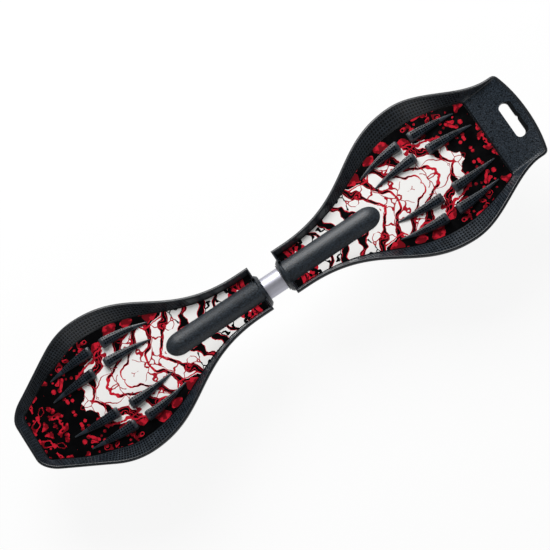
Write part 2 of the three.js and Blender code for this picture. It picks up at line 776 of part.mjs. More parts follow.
function slotCutters() {
  const at = rear_reach - slot_edge - slot_width / 2;
  const plate_slope = (tail_rise - tail_step) / (tail_plate - lip_width - step_run);
  const along = at - (rear_reach - tail_plate + step_run);
  const level = floor_height + tail_step + along * plate_slope;
  const low_end = floor_height - skin - overrun;
  const through = slab(slotShape(0), low_end, floor_height + tail_rise + overrun, 4);
  const scoopTop = slotShape(slot_scoop).getPoints(4);
  const scoopLow = slotShape(0).getPoints(4);
  const rise = (p, drop) => level + p.x * plate_slope - drop;
  const up = scoopTop.map((p) => new THREE.Vector3(p.x, p.y, rise(p, -overrun)));
  const top = scoopTop.map((p) => new THREE.Vector3(p.x, p.y, rise(p, 0)));
  const low = scoopLow.map((p) => new THREE.Vector3(p.x, p.y, rise(p, slot_scoop_depth)));
  return [through.translate([at, 0, 0]), loft([low, top, up]).translate([at, 0, 0])];
}

// Caster frame: its Z runs up the pivot's axis, its origin is the point of that axis nearest to
// the wheel's centre, and the wheel lies behind it on -X.

function casterPlace(deck_side, wheel_at) {
  const along = deck_side * wheel_at + wheel_trail * Math.cos(lean);
  return new THREE.Vector3(along, 0, wheel_radius - wheel_trail * Math.sin(lean));
}

// A solid in the caster's frame, taken to the deck's frame, whose X runs outwards from the gap
function casterToDeck(made, deck_side, wheel_at) {
  const place = casterPlace(deck_side, wheel_at);
  const turnedTo = made.rotate([0, pivot_lean, 0]).translate([place.x, 0, place.z]);
  return deck_side > 0 ? turnedTo : turnedTo.rotate([0, 0, 180]);
}

function screwPlaces() {
  const [x, y] = [plate_length / 2 - plate_screw_inset, plate_width / 2 - plate_screw_inset];
  return [[x, y], [x, -y], [-x, y], [-x, -y]];
}

// Wedge-shaped pedestal under the floor, whose lower face is square to the pivot
function pedestal(deck_side, wheel_at) {
  const place = casterPlace(deck_side, wheel_at);
  const half = plate_length / 2 + pedestal_margin;
  const faceAt = (x) => point(
    deck_side * (place.x + x * Math.cos(lean) + pedestal_face * Math.sin(lean)),
    place.z - x * Math.sin(lean) + pedestal_face * Math.cos(lean),
  );
  const [ahead, behind] = [faceAt(half), faceAt(-half)];
  const top = floor_height - skin / 2;
  const outwards = Math.sign(ahead.x - behind.x);
  const side = new THREE.Shape([
    behind, ahead,
    point(ahead.x + outwards * pedestal_draft, top),
    point(behind.x - outwards * pedestal_draft, top),
  ]);
  const width = plate_width / 2 + pedestal_margin;
  return sideSlab(side, -width, width);
}

function pedestalCutters(deck_side, wheel_at) {
  const low = pedestal_face - overrun;
  const pocket_end = pedestal_face + kingpin_head + pocket_clearance;
  const pocket = rod(kingpin_head_radius + pocket_clearance, low, pocket_end, 'z', facets);
  const hole = rod(screw_radius + seat_gap, low, plate_low + screw_length, 'z', coarse_facets);
  const holes = screwPlaces().map(([x, y]) => hole.translate([x, y, 0]));
  return [pocket, ...holes].map((made) => casterToDeck(made, deck_side, wheel_at));
}

function deckSolid(deck, deck_side, wheel_at, screws_at, more_cutters) {
  const bore = rod(deck.bore, sleeve_mouth - overrun, deck.bore_end, 'x', fine_facets)
    .translate([0, 0, tube_height]);
  const body = joined([
    loft(trayRings(deck)).subtract(sleeveNotch()),
    sleeve(),
    ...claws(deck),
    ...ribs(deck),
    pedestal(deck_side, wheel_at),
    ...screws_at.map(screwBoss),
  ]);
  return cut(body, [
    bore,
    ...pedestalCutters(deck_side, wheel_at),
    ...screws_at.map(tubeScrewHole),
    ...more_cutters,
  ]);
}

// The printed sheet: the floor's outline, cut round the claws and the sleeve
function printSolid(deck) {
  const low = floor_height + seat_gap;
  const sheet = slab(new THREE.Shape(inset(deck.pan, print_margin)), low, low + print_thickness);
  const holes = clawHoles(deck, seat_gap, low - overrun, low + overrun);
  return cut(sheet, [sleeve(seat_gap), ...holes]);
}

// Screw in the caster's or tube's frame: pan head below, shank up along Z from the head's seat
function panScrew(seat, length) {
  const outer = turned([
    [0, seat - screw_head],
    [screw_head_radius * screw_crown_share, seat - screw_head],
    [screw_head_radius, seat],
    [screw_radius, seat],
    [screw_radius, seat + length],
    [0, seat + length],
  ], 'z', coarse_facets);
  const top = seat - screw_head;
  const socket = rod(screw_socket_radius, top - overrun, top + screw_socket_depth, 'z', hex);
  return outer.subtract(socket);
}

// Wheel pieces, turned about Y at the wheel's centre

function tyreSolid() {
  const tread = wheel_radius / Math.cos(Math.PI / fine_facets);
  const half = tyre_width / 2;
  const inner = hub_radius + seat_gap;
  const round = half - tread_width / 2;
  const shoulder = Array.from({ length: shoulder_steps + 1 }, (_, k) => {
    const angle = (k * Math.PI) / 2 / shoulder_steps;
    return [tread - round * (1 - Math.cos(angle)), tread_width / 2 + round * Math.sin(angle)];
  });
  const side = [...shoulder, [inner + tyre_lip, half], [inner, half - tyre_lip]];
  const mirrored = side.map(([radius, along]) => [radius, -along]).reverse();
  return turned([...side, ...mirrored, side[0]], 'y', fine_facets);
}

function hubSolid() {
  const bore = bearing_radius + seat_gap;
  const boss = bore + hub_boss_wall;
  const half = tyre_width / 2;
  const rim = hub_radius - hub_wall;
  const land = half - bearing_recess - bearing_width - seat_gap;
  const side = [
    [bore - hub_land, land], [bore, land], [bore, half], [boss, half], [boss, hub_web / 2],
    [rim, hub_web / 2], [rim, half - tyre_lip], [hub_radius, half - tyre_lip],
  ];
  const mirrored = side.map(([radius, along]) => [radius, -along]).reverse();
  const window = new THREE.Shape();
  const sweep = (hub_window_share * Math.PI) / hub_windows;
  window.absarc(0, 0, rim - seat_gap, -sweep, sweep, false);
  window.absarc(0, 0, boss + seat_gap, sweep, -sweep, true);
  const opening = slab(window, -hub_web, hub_web, 2).rotate([90, 0, 0]);
  const turn = 360 / hub_windows;
  const windows = Array.from({ length: hub_windows }, (_, k) => opening.rotate([0, k * turn, 0]));
  return cut(turned([...side, ...mirrored, side[0]], 'y', fine_facets), windows);
}

function bearingSolid(side) {
  const far = tyre_width / 2 - bearing_recess;
  const near = far - bearing_width;
  const ring_depth = (bearing_radius - axle_bore) * bearing_ring_share;
  const inner = axle_bore + ring_depth;
  const outer = bearing_radius - ring_depth;
  const profile = [
    [axle_bore, near], [bearing_radius, near], [bearing_radius, far],
    [outer, far], [outer, far - bearing_recess], [inner, far - bearing_recess], [inner, far],
    [axle_bore, far], [axle_bore, near],
  ];
  return turned(profile.map(([radius, along]) => [radius, side * along]), 'y', facets);
}

function bearingSpacer() {
  const half = tyre_width / 2 - bearing_recess - bearing_width - seat_gap;
  return ring(axle_bore, spacer_radius, -half, half, 'y', facets);
}

function washer(side) {
  const near = tyre_width / 2 - bearing_recess + seat_gap;
  const far = arm_inner - seat_gap;
  const [from, to] = side > 0 ? [near, far] : [-far, -near];
  return ring(axle_bore, washer_radius, from, to, 'y', facets);
}

function axleBolt() {
  const seat = arm_outer + seat_gap;
  const head = rod(axle_head_radius, seat, seat + axle_head, 'y', hex);
  const shank = rod(axle_radius, -seat - axle_head - thread_tail, seat + axle_head / 2, 'y', facets);
  return head.add(shank);
}

function axleNut() {
  const seat = arm_outer + seat_gap;
  return rod(axle_head_radius, -seat - axle_head, -seat, 'y', hex)
    .subtract(rod(axle_bore, -seat - axle_head - overrun, -seat + overrun, 'y', facets));
}

// Fork: a bent steel channel over the wheel, trimmed to a swept side view that ends round the axle

function forkSolid() {
  const channel = new THREE.Shape();
  const low = -fork_eye - overrun;
  const [out, r] = [arm_outer, fork_bend];
  const [inn, q] = [arm_inner, fork_inner_bend];
  const [chin, heel, back] = fork_height_shares.map((share) => share * crown_low);
  channel.moveTo(-out, low);
  channel.lineTo(-out, crown_top - r);
  channel.absarc(-out + r, crown_top - r, r, Math.PI, Math.PI / 2, true);
  channel.lineTo(out - r, crown_top);
  channel.absarc(out - r, crown_top - r, r, Math.PI / 2, 0, true);
  channel.lineTo(out, low);
  channel.lineTo(inn, low);
  channel.lineTo(inn, crown_low - q);
  channel.absarc(inn - q, crown_low - q, q, 0, Math.PI / 2, false);
  channel.lineTo(-inn + q, crown_low);
  channel.absarc(-inn + q, crown_low - q, q, Math.PI / 2, Math.PI, false);
  channel.lineTo(-inn, low);
  const reach = wheel_trail + fork_eye + crown_back;
  const bent = slab(channel, -reach, reach, 3).rotate([90, 0, 90]);
  const side = new THREE.Shape();
  side.moveTo(crown_front, crown_top + overrun);
  side.lineTo(crown_front, crown_low - q);
  const throat = fork_eye * fork_throat_share - wheel_trail;
  side.bezierCurveTo(crown_front * fork_chin_share, chin, throat, fork_eye, fork_eye - wheel_trail, 0);
  side.absarc(-wheel_trail, 0, fork_eye, 0, -Math.PI, true);
  side.bezierCurveTo(-wheel_trail - fork_eye, heel, -crown_back, back, -crown_back, crown_low);
  side.lineTo(-crown_back, crown_top + overrun);
  const wide = out + overrun;
  const trimmed = bent.intersect(sideSlab(side, -wide, wide, 5));
  const pivot_hole = rod(kingpin_bore, crown_low - overrun, crown_top + overrun, 'z', facets);
  const axle_hole = rod(axle_bore, -wide, wide, 'y', facets).translate([-wheel_trail, 0, 0]);
  return cut(trimmed, [pivot_hole, axle_hole]);
}

// Pivot pieces, turned about the kingpin

function plateSolid() {
  const [low, high] = [plate_low - overrun, plate_top + overrun];
  const hole = rod(screw_bore, low, high, 'z', coarse_facets);
  const holes = screwPlaces().map(([x, y]) => hole.translate([x, y, 0]));
  const outline = roundedRectangle(plate_length, plate_width, plate_corner);
  const plate = slab(outline, plate_low, plate_top, 3);
  return cut(plate, [rod(kingpin_bore, low, high, 'z', facets), ...holes]);
}

function raceSolid(radius, low, high) {
  const middle = (low + high) / 2;
  const [under, over] = [middle - race_groove / 2, middle + race_groove / 2];
  const groove = radius - race_groove;
  return turned([
    [kingpin_bore, low], [radius, low], [radius, under], [groove, under],
    [groove, over], [radius, over], [radius, high], [kingpin_bore, high], [kingpin_bore, low],
  ], 'z', facets);
}

function kingpinSolid() {
  const seat = plate_top + seat_gap;
  const low = kingpin_nut_top - kingpin_nut - thread_tail;
  return rod(kingpin_head_radius, seat, seat + kingpin_head, 'z', hex)
    .add(rod(kingpin_radius, low, seat + kingpin_head / 2, 'z', facets));
}

function kingpinNut() {
  const [low, high] = [kingpin_nut_top - kingpin_nut, kingpin_nut_top];
  return rod(kingpin_head_radius, low, high, 'z', hex)
    .subtract(rod(kingpin_bore, low - overrun, high + overrun, 'z', facets));
}

// Torsion unit, turned about the tube's axis

function barSocket(from, radius) {
  const half = bar_side / 2 + seat_gap;
  const hole = box(
    new THREE.Vector3(from - overrun, -half, -half),
    new THREE.Vector3(from + socket_length + overrun, half, half),
  );
  const screw = rod(screw_bore, -radius - overrun, 0, 'z', coarse_facets)
    .translate([from + socket_length / 2, 0, 0]);
  return cut(rod(radius, from, from + socket_length, 'x', facets), [hole, screw]);
}

function tubeSolid() {
  const inner = tube_radius - tube_wall;
  const tube = ring(inner, tube_radius, -tube_half_length, tube_half_length, 'x', fine_facets);
  const hole = rod(screw_bore, -tube_radius - overrun, 0, 'z', coarse_facets);
  return cut(tube, front_screws_at.map((at) => hole.translate([at, 0, 0])));
}

function mouthBush() {
  const flange = bush_outer + bush_flange_rise;
  const face = -sleeve_mouth + seat_gap;
  return turned([
    [bush_inner, face + bush_flange], [flange, face + bush_flange], [flange, face],
    [bush_outer, face], [bush_outer, face - bush_length], [bush_inner, face - bush_length],
    [bush_inner, face + bush_flange],
  ], 'x', fine_facets);
}

function innerBush() {
  const far = -tube_half_length + bush_inset;
  return ring(bush_inner, bush_outer, far, far + bush_length, 'x', fine_facets);
}

function barSolid(from, to) {
  const half = bar_side / 2;
  return box(new THREE.Vector3(from, -half, -half), new THREE.Vector3(to, half, half));
}

// Assembly

const board = new THREE.Group();
board.position.x = gap_x;

function addPiece(parent, name, made, material) {
  const mesh = new THREE.Mesh(toGeometry(made), material);
  mesh.name = name;
  parent.add(mesh);
}

function addDecks() {
  const frontBody = deckSolid(front, 1, front_wheel_at, front_screws_at, []);
  const rearBody = deckSolid(rear, -1, rear_wheel_at, rear_screws_at, slotCutters());
  addPiece(board, 'front_deck', frontBody, materials.deck);
  addPiece(board, 'rear_deck', rearBody.rotate([0, 0, 180]), materials.deck);
  addPiece(board, 'front_print', printSolid(front), materials.print);
  addPiece(board, 'rear_print', printSolid(rear).rotate([0, 0, 180]), materials.print);
}

function addTorsionUnit() {
  const unit = new THREE.Group();
  unit.position.z = tube_height;
  board.add(unit);
  addPiece(unit, 'torsion_tube', tubeSolid(), materials.tube);
  addPiece(unit, 'torsion_bar', barSolid(rear_socket_from + bar_inset, tube_half_length - bar_inset),
    materials.spring);
  const inner = tube_radius - tube_wall - seat_gap;
  addPiece(unit, 'front_bar_socket', barSocket(front_socket_from, inner), materials.steel);
  addPiece(unit, 'rear_bar_socket', barSocket(rear_socket_from, rear_bore - seat_gap), materials.steel);
  addPiece(unit, 'mouth_bush', mouthBush(), materials.nylon);
  addPiece(unit, 'inner_bush', innerBush(), materials.nylon);
  const seat = -sleeve_radius - screw_boss_height - seat_gap;
  const toBar = -bar_side / 2 - seat_gap - seat;
  const names = ['front_tube_screw', 'front_socket_screw', 'rear_socket_screw'];
  const places = [...front_screws_at, rear_socket_from + socket_length / 2];
  places.forEach((at, k) => {
    const length = k === 0 ? -tube_radius + tube_wall - seat : toBar;
    addPiece(unit, names[k], panScrew(seat, length).translate([at, 0, 0]), materials.zinc);
  });
}

function addCaster(end, deck_side, wheel_at) {
  const caster = new THREE.Group();
  caster.position.copy(casterPlace(deck_side, wheel_at));
  caster.rotation.y = lean;
  board.add(caster);
  const add = (name, made, material) => addPiece(caster, `${end}_${name}`, made, material);
  add('caster_plate', plateSolid(), materials.steel);
  screwPlaces().forEach(([x, y], k) => {
    const screw = panScrew(plate_low - seat_gap, screw_length).translate([x, y, 0]);
    add(`plate_screw_${k + 1}`, screw, materials.zinc);
  });
  add('kingpin', kingpinSolid(), materials.zinc);
  add('kingpin_nut', kingpinNut(), materials.zinc);
  const upper_race = raceSolid(race_radius, crown_top + seat_gap, plate_low - seat_gap);
  add('upper_race', upper_race, materials.steel);
  const lower_race = raceSolid(lower_race_radius, lower_race_low, crown_low - seat_gap);
  add('lower_race', lower_race, materials.steel);
  add('fork', forkSolid(), materials.steel);

  const wheel = new THREE.Group();
  wheel.position.x = -wheel_trail;
  wheel.rotation.y = -lean;
  caster.add(wheel);
  const addWheel = (name, made, material) => addPiece(wheel, `${end}_${name}`, made, material);
  addWheel('tyre', tyreSolid(), materials.tyre);
  addWheel('wheel_hub', hubSolid(), materials.hub);
  addWheel('left_bearing', bearingSolid(1), materials.steel);
  addWheel('right_bearing', bearingSolid(-1), materials.steel);
  addWheel('bearing_spacer', bearingSpacer(), materials.zinc);
  addWheel('left_washer', washer(1), materials.zinc);
  addWheel('right_washer', washer(-1), materials.zinc);
  addWheel('axle_bolt', axleBolt(), materials.zinc);
  addWheel('axle_nut', axleNut(), materials.zinc);
}

addDecks();
addTorsionUnit();
addCaster('front', 1, front_wheel_at);
addCaster('rear', -1, rear_wheel_at);

export default board;
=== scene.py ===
"""Dresses a jointed caster board for rendering.

Two moulded foot decks are joined end to end by a torsion tube, and each rolls on one trailing
caster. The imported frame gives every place, and each piece rides on the frame's body that
carries it. Lengths are in millimetres until a piece is placed, and in metres from then on.
"""

import math

import bmesh
import bpy
from bpy.props import FloatProperty, FloatVectorProperty, IntProperty, PointerProperty
from mathutils import Matrix, Vector


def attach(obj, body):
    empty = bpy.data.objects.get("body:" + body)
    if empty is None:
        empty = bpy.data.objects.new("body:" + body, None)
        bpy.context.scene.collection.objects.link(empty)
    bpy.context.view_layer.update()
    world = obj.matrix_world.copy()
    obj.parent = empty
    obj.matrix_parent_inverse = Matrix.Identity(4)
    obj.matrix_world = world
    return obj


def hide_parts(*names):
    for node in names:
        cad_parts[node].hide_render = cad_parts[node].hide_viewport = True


bl_info = {
    "name": "Caster Board",
    "version": (1, 0, 0),
    "blender": (4, 5, 0),
    "location": "View3D > Sidebar > Caster Board",
    "description": "Builds the decks, torsion unit, casters and stage of a caster board",
    "category": "Object",
}

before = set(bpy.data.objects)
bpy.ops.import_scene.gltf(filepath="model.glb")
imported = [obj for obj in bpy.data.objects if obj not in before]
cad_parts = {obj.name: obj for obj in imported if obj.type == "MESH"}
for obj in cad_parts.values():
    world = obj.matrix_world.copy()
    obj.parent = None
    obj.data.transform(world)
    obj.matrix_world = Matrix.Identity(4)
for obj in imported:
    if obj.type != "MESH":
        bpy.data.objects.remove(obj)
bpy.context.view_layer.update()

ENDS = ("front", "rear")
SIDES = (("left", 1), ("right", -1))
MM = 0.001
SEAT = 0.3  # the gap that is left between pieces that meet
# The pit finish is painted shade: a darker copy of the shell's plastic for the recesses
# The ridge finish is a painted highlight: a paler copy of the shell's plastic for the raised relief
LIT_RIDGE, SHADED_PIT, GRAIN = 1, 2, 3  # places of these finishes on a moulded piece, after the shell's
SHIELD = 1  # place of the rubber on a bearing, after its rings

# Outline and shell of both decks, in millimetres
GAP_X = 7.5  # from the board's middle to the middle of the gap between its decks
NECK_GAP = 40.8
NECK_HALF = 36.5
NECK_STRAIGHT = 19.3
NECK_RIM = 8.5
NECK_END_RIM = 4.5
FLOOR = 115
SKIN = 4
LIP_WIDTH = 4.6
LIP_FALL = 0.9
SKIRT_DRAFT = 4
PAN_CORNER = 6
STEP_RUN = 2
CORNER_PULL = 0.55
PRINT_THICKNESS = 0.6

# Front deck
FRONT_REACH = 422.9
FRONT_WIDEST = 274
FRONT_HALF = 112.3
NOSE_FLAT_HALF = 28
NOSE_CORNER_RUN = 22.9
NOSE_CORNER_HALF = 57.6
SHOULDER_RUN = 56
SHOULDER_DROP = 15.6
SHOULDER_WALL = 23
NOSE_SIDE_WALL = 15.5
FRONT_WING_WALL = 26.3
NOSE_WALL = 15.4
NOSE_PAN_HALF = 36
FRONT_PAN_HALF = FRONT_HALF - FRONT_WING_WALL
FRONT_PAN_END = FRONT_REACH - NOSE_WALL

# Rear deck
REAR_REACH = 437.9
REAR_WIDEST = 276
REAR_HALF = 115.7
TAIL_HALF = 69.5
TAIL_BOW = 10.7
TAIL_CORNER = 6
TAIL_STRAIGHT = 12
REAR_WING_WALL = 28.7
TAIL_PLATE = 68
TAIL_PAN_HALF = 65
TAIL_STEP = 3.2
TAIL_RISE = 21
REAR_PAN_HALF = REAR_HALF - REAR_WING_WALL
REAR_PAN_END = REAR_REACH - TAIL_PLATE

# The rim's rise, the skirt's depth and the floor's step, where the outline's stretches meet
FRONT_LEVELS = {
    "rises": [12, 12, 12, 18, 18, 12, 12, 12],
    "skirts": [19, 19, 19, 28, 28, 25, 25, 25],
    "steps": [0] * 8,
}
REAR_LEVELS = {
    "rises": [TAIL_RISE] * 4 + [18, 18, 12, 12, 12],
    "skirts": [13] * 4 + [28, 28, 25, 25, 25],
    "steps": [TAIL_STEP] * 4 + [0] * 5,
}

# The lip's section, as shares of its width from the inner side, and heights from its crest
LIP_SECTION = [
    (1, -LIP_FALL), (0.9, -0.34), (0.74, 0), (0.55, -0.06), (0.36, -0.33),
    (0.2, -0.8), (0.08, -1.5), (0, -2.6),
]

# Margin and slope round a pit, as shares of the narrow side of its face
PIT_MARGIN = 0.18
PIT_SLOPE = 0.06

# Carry slot and finger scoop
SLOT_RADIUS = 7.3
SLOT_HALF = 21.2
SLOT_INSET = 18.5
SLOT_POINT = (1.8, 3.6)  # how far it stands out, and half its width
SCOOP_REACH = 8
SCOOP_DEPTH = 3

# Claws
CLAW_LENGTH = 72
CLAW_WIDTH = 16
CLAW_TIP_WIDTH = 2.2
CLAW_RISE = 11
CLAW_TIP_RISE = 2.6
# The way each points, its start as a share of its length, its row as a share of the floor's
# half width, and how far it turns in
CLAW_PLACES = (
    (1, 0, 0.73, 0.065), (1, 0.17, 0.39, 0.055), (-1, 0.24, 0.73, 0.14), (-1, 0.1, 0.41, 0.08),
)
CLAW_SECTION = (
    (-1, 0), (-1, 0.42), (-0.94, 0.7), (-0.78, 0.92), (-0.26, 1), (0.26, 1),
    (0.78, 0.92), (0.94, 0.7), (1, 0.42), (1, 0),
)
CLAW_END = ((0, 0.8), (0.012, 0.9), (0.035, 0.97), (0.07, 1))

# Torsion unit: heights are from the tube's axis, and lengths from the middle of the gap
TUBE_RADIUS = 17
TUBE_WALL = 2
TUBE_HALF = 140
TUBE_AXIS = 99  # above the ground
BORE = {"front": 17.3, "rear": 19.3}
BORE_END = {"front": 140.3, "rear": 160}
TRAY_BORE = 20.5
SLEEVE_RADIUS = 24
SLEEVE_MOUTH = 15.7
SLEEVE_END = 160.5
SLEEVE_NOSE = 30
COLLAR_RADIUS = 26
COLLAR_CHAMFER = 4
COLLAR_END = NECK_GAP / 2
BUSH_INNER = 17.3
BUSH_OUTER = 19
BUSH_FLANGE = 20.6
BUSH_LENGTH = 30
BAR_HALF = 3
SCREWS_AT = {"front": (52, 130.5), "rear": (150.7,)}
SCREW_SEAT = -SLEEVE_RADIUS - 2 - SEAT
BOSS_LOW = -25
BOSS_RISE = 10
BOSS_TIP = 7.6
BOSS_ROOT = 8.6

# Ribs and pedestals
RIB_START = 88
RIB_PITCH = 52
RIB_HALF = 1.3
RIB_DEPTH = 9
RIB_DRAFT = 0.4  # how much each side leans in at its lower edge
RIB_ROW = 0.55  # the long ribs' place, as a share of the floor's half width
PEDESTAL_REACH = 35
PEDESTAL_HALF = 32
PEDESTAL_FLARE = 4

# Casters: heights on the pivot are from the point of its axis nearest to the wheel's centre
LEAN = math.radians(30)
WHEEL_RADIUS = 38
TRAIL = 31
WHEEL_AT = {"front": 235, "rear": -300}
TYRE_WIDTH = 24
HUB_RADIUS = 22.3
HUB_RIM = 18.9
HUB_BOSS = 14.5
HUB_WEB = 6
HUB_WINDOWS = 5
BEARING_RADIUS = 11
BEARING_FACE = 11.5
BEARING_WIDTH = 7
SHIELD_INNER = 6.4
SHIELD_OUTER = 9
BORE_RADIUS = 4.3
PIVOT_BORE = 5.3
ARM_INNER = 15
ARM_OUTER = 19
FORK_EYE = 13
CROWN_LOW = 44
CROWN_TOP = 48
LOWER_RACE = 39.7
UPPER_RACE_RADIUS = 17
LOWER_RACE_RADIUS = 11.7
PLATE_LOW = 53.6
PLATE_TOP = 57.6
PLATE_HALF = (32, 29)
PLATE_CORNER = 8
PLATE_SCREWS = ((23, 20), (23, -20), (-23, 20), (-23, -20))

# Screws, bolts and washers
SCREW_HEAD = 5.4
SCREW_DOME = 2.2
SCREW_SHANK = 3
SCREW_SOCKET = 2.4
THREAD_PITCH = 1
THREAD_DEPTH = 0.45
PLATE_SCREW_LENGTH = 16
KINGPIN_RADIUS = 5
KINGPIN_HEX = 9.8
KINGPIN_HEAD = 6  # the height of its head and of its nut
AXLE_RADIUS = 4
AXLE_HEX = 7.5
AXLE_HEAD = 5  # the height of its head and of its nut
WASHER_RADIUS = 6.3

# The camera, as measured on the photograph
PIXELS = 550
VIEW_TURN = math.radians(33.66)
VIEW_FROM = (0.208, 0.978)  # its place to the side of the board and above it, as shares
VIEW_SHIFT = (2.05, 2.9)  # how far the picture's middle lies from the board's, in pixels
VIEW_LEVEL = 0.12  # the height that it looks at, in metres

# Stage, in metres
AIM = (0, 0, 0.11)
LAMPS = (("key", 1.3, (-0.3, -1.6, 1.6)), ("fill", 1.6, (0.5, 1.9, 1.6)))
FLOOR_REACH = 6
FLOOR_GLOW = 0.9  # how far the floor shows as plain white, to the camera and in reflections
SKY_DIMS = (0.45, 0.9)  # the heights between which the sky darkens
SKY_OVERHEAD = 0.05  # what is left of its level overhead


def linear(hex_colour):
    """An sRGB hex colour as linear red, green and blue."""
    parts = [int(hex_colour[i:i + 2], 16) / 255 for i in (1, 3, 5)]
    return tuple(c / 12.92 if c <= 0.04045 else ((c + 0.055) / 1.055) ** 2.4 for c in parts)


def colour_setting(name, description, hex_colour):
    """A setting that holds a colour."""
    return FloatVectorProperty(
        name=name, description=description, subtype="COLOR", default=linear(hex_colour),
    )


class BoardSizes(bpy.types.PropertyGroup):
    """Sizes of the relief and the divisions that the pieces are made with."""

    pit_pitch: FloatProperty(
        name="Pit pitch", description="Distance between the pits along the wall",
        default=0.0047, min=0.003, unit="LENGTH",
    )
    pit_depth: FloatProperty(
        name="Pit depth", description="Depth of the pits in the walls and claws",
        default=0.0011, min=0, unit="LENGTH",
    )
    wall_rows: IntProperty(
        name="Wall rows", description="Rows of pits up the wall", default=5, min=2,
    )
    print_margin: FloatProperty(
        name="Print margin", description="From the printed sheet's edge to the wall",
        default=0.0006, min=0, unit="LENGTH",
    )
    turns: IntProperty(
        name="Turned divisions", description="Divisions round turned pieces", default=72, min=16,
    )


class BoardColours(bpy.types.PropertyGroup):
    """Colours of the board."""

    plastic: colour_setting("Plastic", "Moulded decks", "#0e1318")
    red: colour_setting("Print red", "Red of the print", "#c41e30")
    white: colour_setting("Print white", "White of the print", "#f4f3f1")
    black: colour_setting("Print black", "Black of the print", "#050506")
    tyre: colour_setting("Tyre", "Urethane tyres", "#1b1c1e")
    hub: colour_setting("Hub", "Wheel hubs", "#9a1c26")


class StageSettings(bpy.types.PropertyGroup):
    """Floor, light and camera."""

    floor: colour_setting("Floor", "Floor colour", "#fbfbfb")
    key: FloatProperty(
        name="Key light", description="Power of the soft key light", default=60, unit="POWER",
    )
    fill: FloatProperty(
        name="Fill light", description="Power of the fill light", default=8, unit="POWER",
    )
    sky: FloatProperty(name="Sky", description="Level of the even light all round", default=0.36)
    distance: FloatProperty(
        name="Distance", description="From the camera to the board", default=3, unit="LENGTH",
    )
    width: FloatProperty(
        name="View width", description="Width that the camera takes in at the board",
        default=0.788, unit="LENGTH",
    )


# Nodes and materials


def add(tree, kind, inputs=(), stops=(), **settings):
    """Adds a node with its settings, and a value or a link for each of its inputs.

    Inputs that share a name with another one are given by number: in a colour mix, 0 is the
    share and 6 and 7 are the two colours.
    """
    made = tree.nodes.new(f"ShaderNode{kind}")
    for name, value in settings.items():
        setattr(made, name, value)
    for key, value in dict(inputs).items():
        if isinstance(value, bpy.types.Node):
            value = value.outputs[0]
        if isinstance(value, bpy.types.NodeSocket):
            tree.links.new(value, made.inputs[key])
        else:
            made.inputs[key].default_value = value
    for k, (at, colour) in enumerate(stops):
        element = made.color_ramp.elements[k] if k < 2 else made.color_ramp.elements.new(at)
        element.position = at
        element.color = (*colour, 1)
    return made


def new_tree(name):
    """An empty node tree of a new material, and the material."""
    material = bpy.data.materials.new(name)
    material.use_nodes = True
    material.node_tree.nodes.clear()
    return material, material.node_tree


def finish(name, colours, roughness, patch, grain, relief, ior=1.5, metallic=0.0,
           stretch=(1, 1, 1), worn=None):
    """A finish with patches of two near colours, and a grain in relief.

    patch and grain are the sizes of both patterns in millimetres, and relief is the grain's
    height. stretch draws both out along an axis, as brushing and turning do. worn is the
    colour that exposed edges take.
    """
    material, tree = new_tree(name)
    place = add(tree, "TexCoord").outputs["Object"]
    drawn = add(tree, "Mapping", {"Vector": place, "Scale": stretch})
    patches, grains = (
        add(tree, "TexNoise", {"Vector": drawn, "Scale": 1 / (size * MM), "Detail": detail})
        for size, detail in ((patch, 3), (grain, 2))
    )
    spread = add(tree, "MapRange", {"Value": patches, "From Min": 0.3, "From Max": 0.7})
    colour = add(
        tree, "Mix",
        {0: spread, 6: (*colours[0], 1), 7: (*colours[1], 1)}, data_type="RGBA",
    ).outputs[2]
    if worn:
        edge = add(tree, "NewGeometry").outputs["Pointiness"]
        bare = add(tree, "MapRange", {
            "Value": edge, "From Min": 0.52, "From Max": 0.6, "To Max": 0.8,
        })
        colour = add(tree, "Mix", {0: bare, 6: colour, 7: (*worn, 1)}, data_type="RGBA").outputs[2]
    rough = add(tree, "MapRange", {
        "Value": patches, "From Min": 0.3, "From Max": 0.7,
        "To Min": roughness[0], "To Max": roughness[1],
    })
    bump = add(tree, "Bump", {"Height": grains, "Distance": relief * MM, "Strength": 0.6})
    shader = add(tree, "BsdfPrincipled", {
        "Base Color": colour, "Roughness": rough, "Normal": bump, "Metallic": metallic,
    })
    if not metallic:
        shader.inputs["IOR"].default_value = ior
    add(tree, "OutputMaterial", {"Surface": shader})
    return material


def lighter(colour, factor):
    """A colour made lighter or darker by a factor."""
    return tuple(min(c * factor, 1) for c in colour)


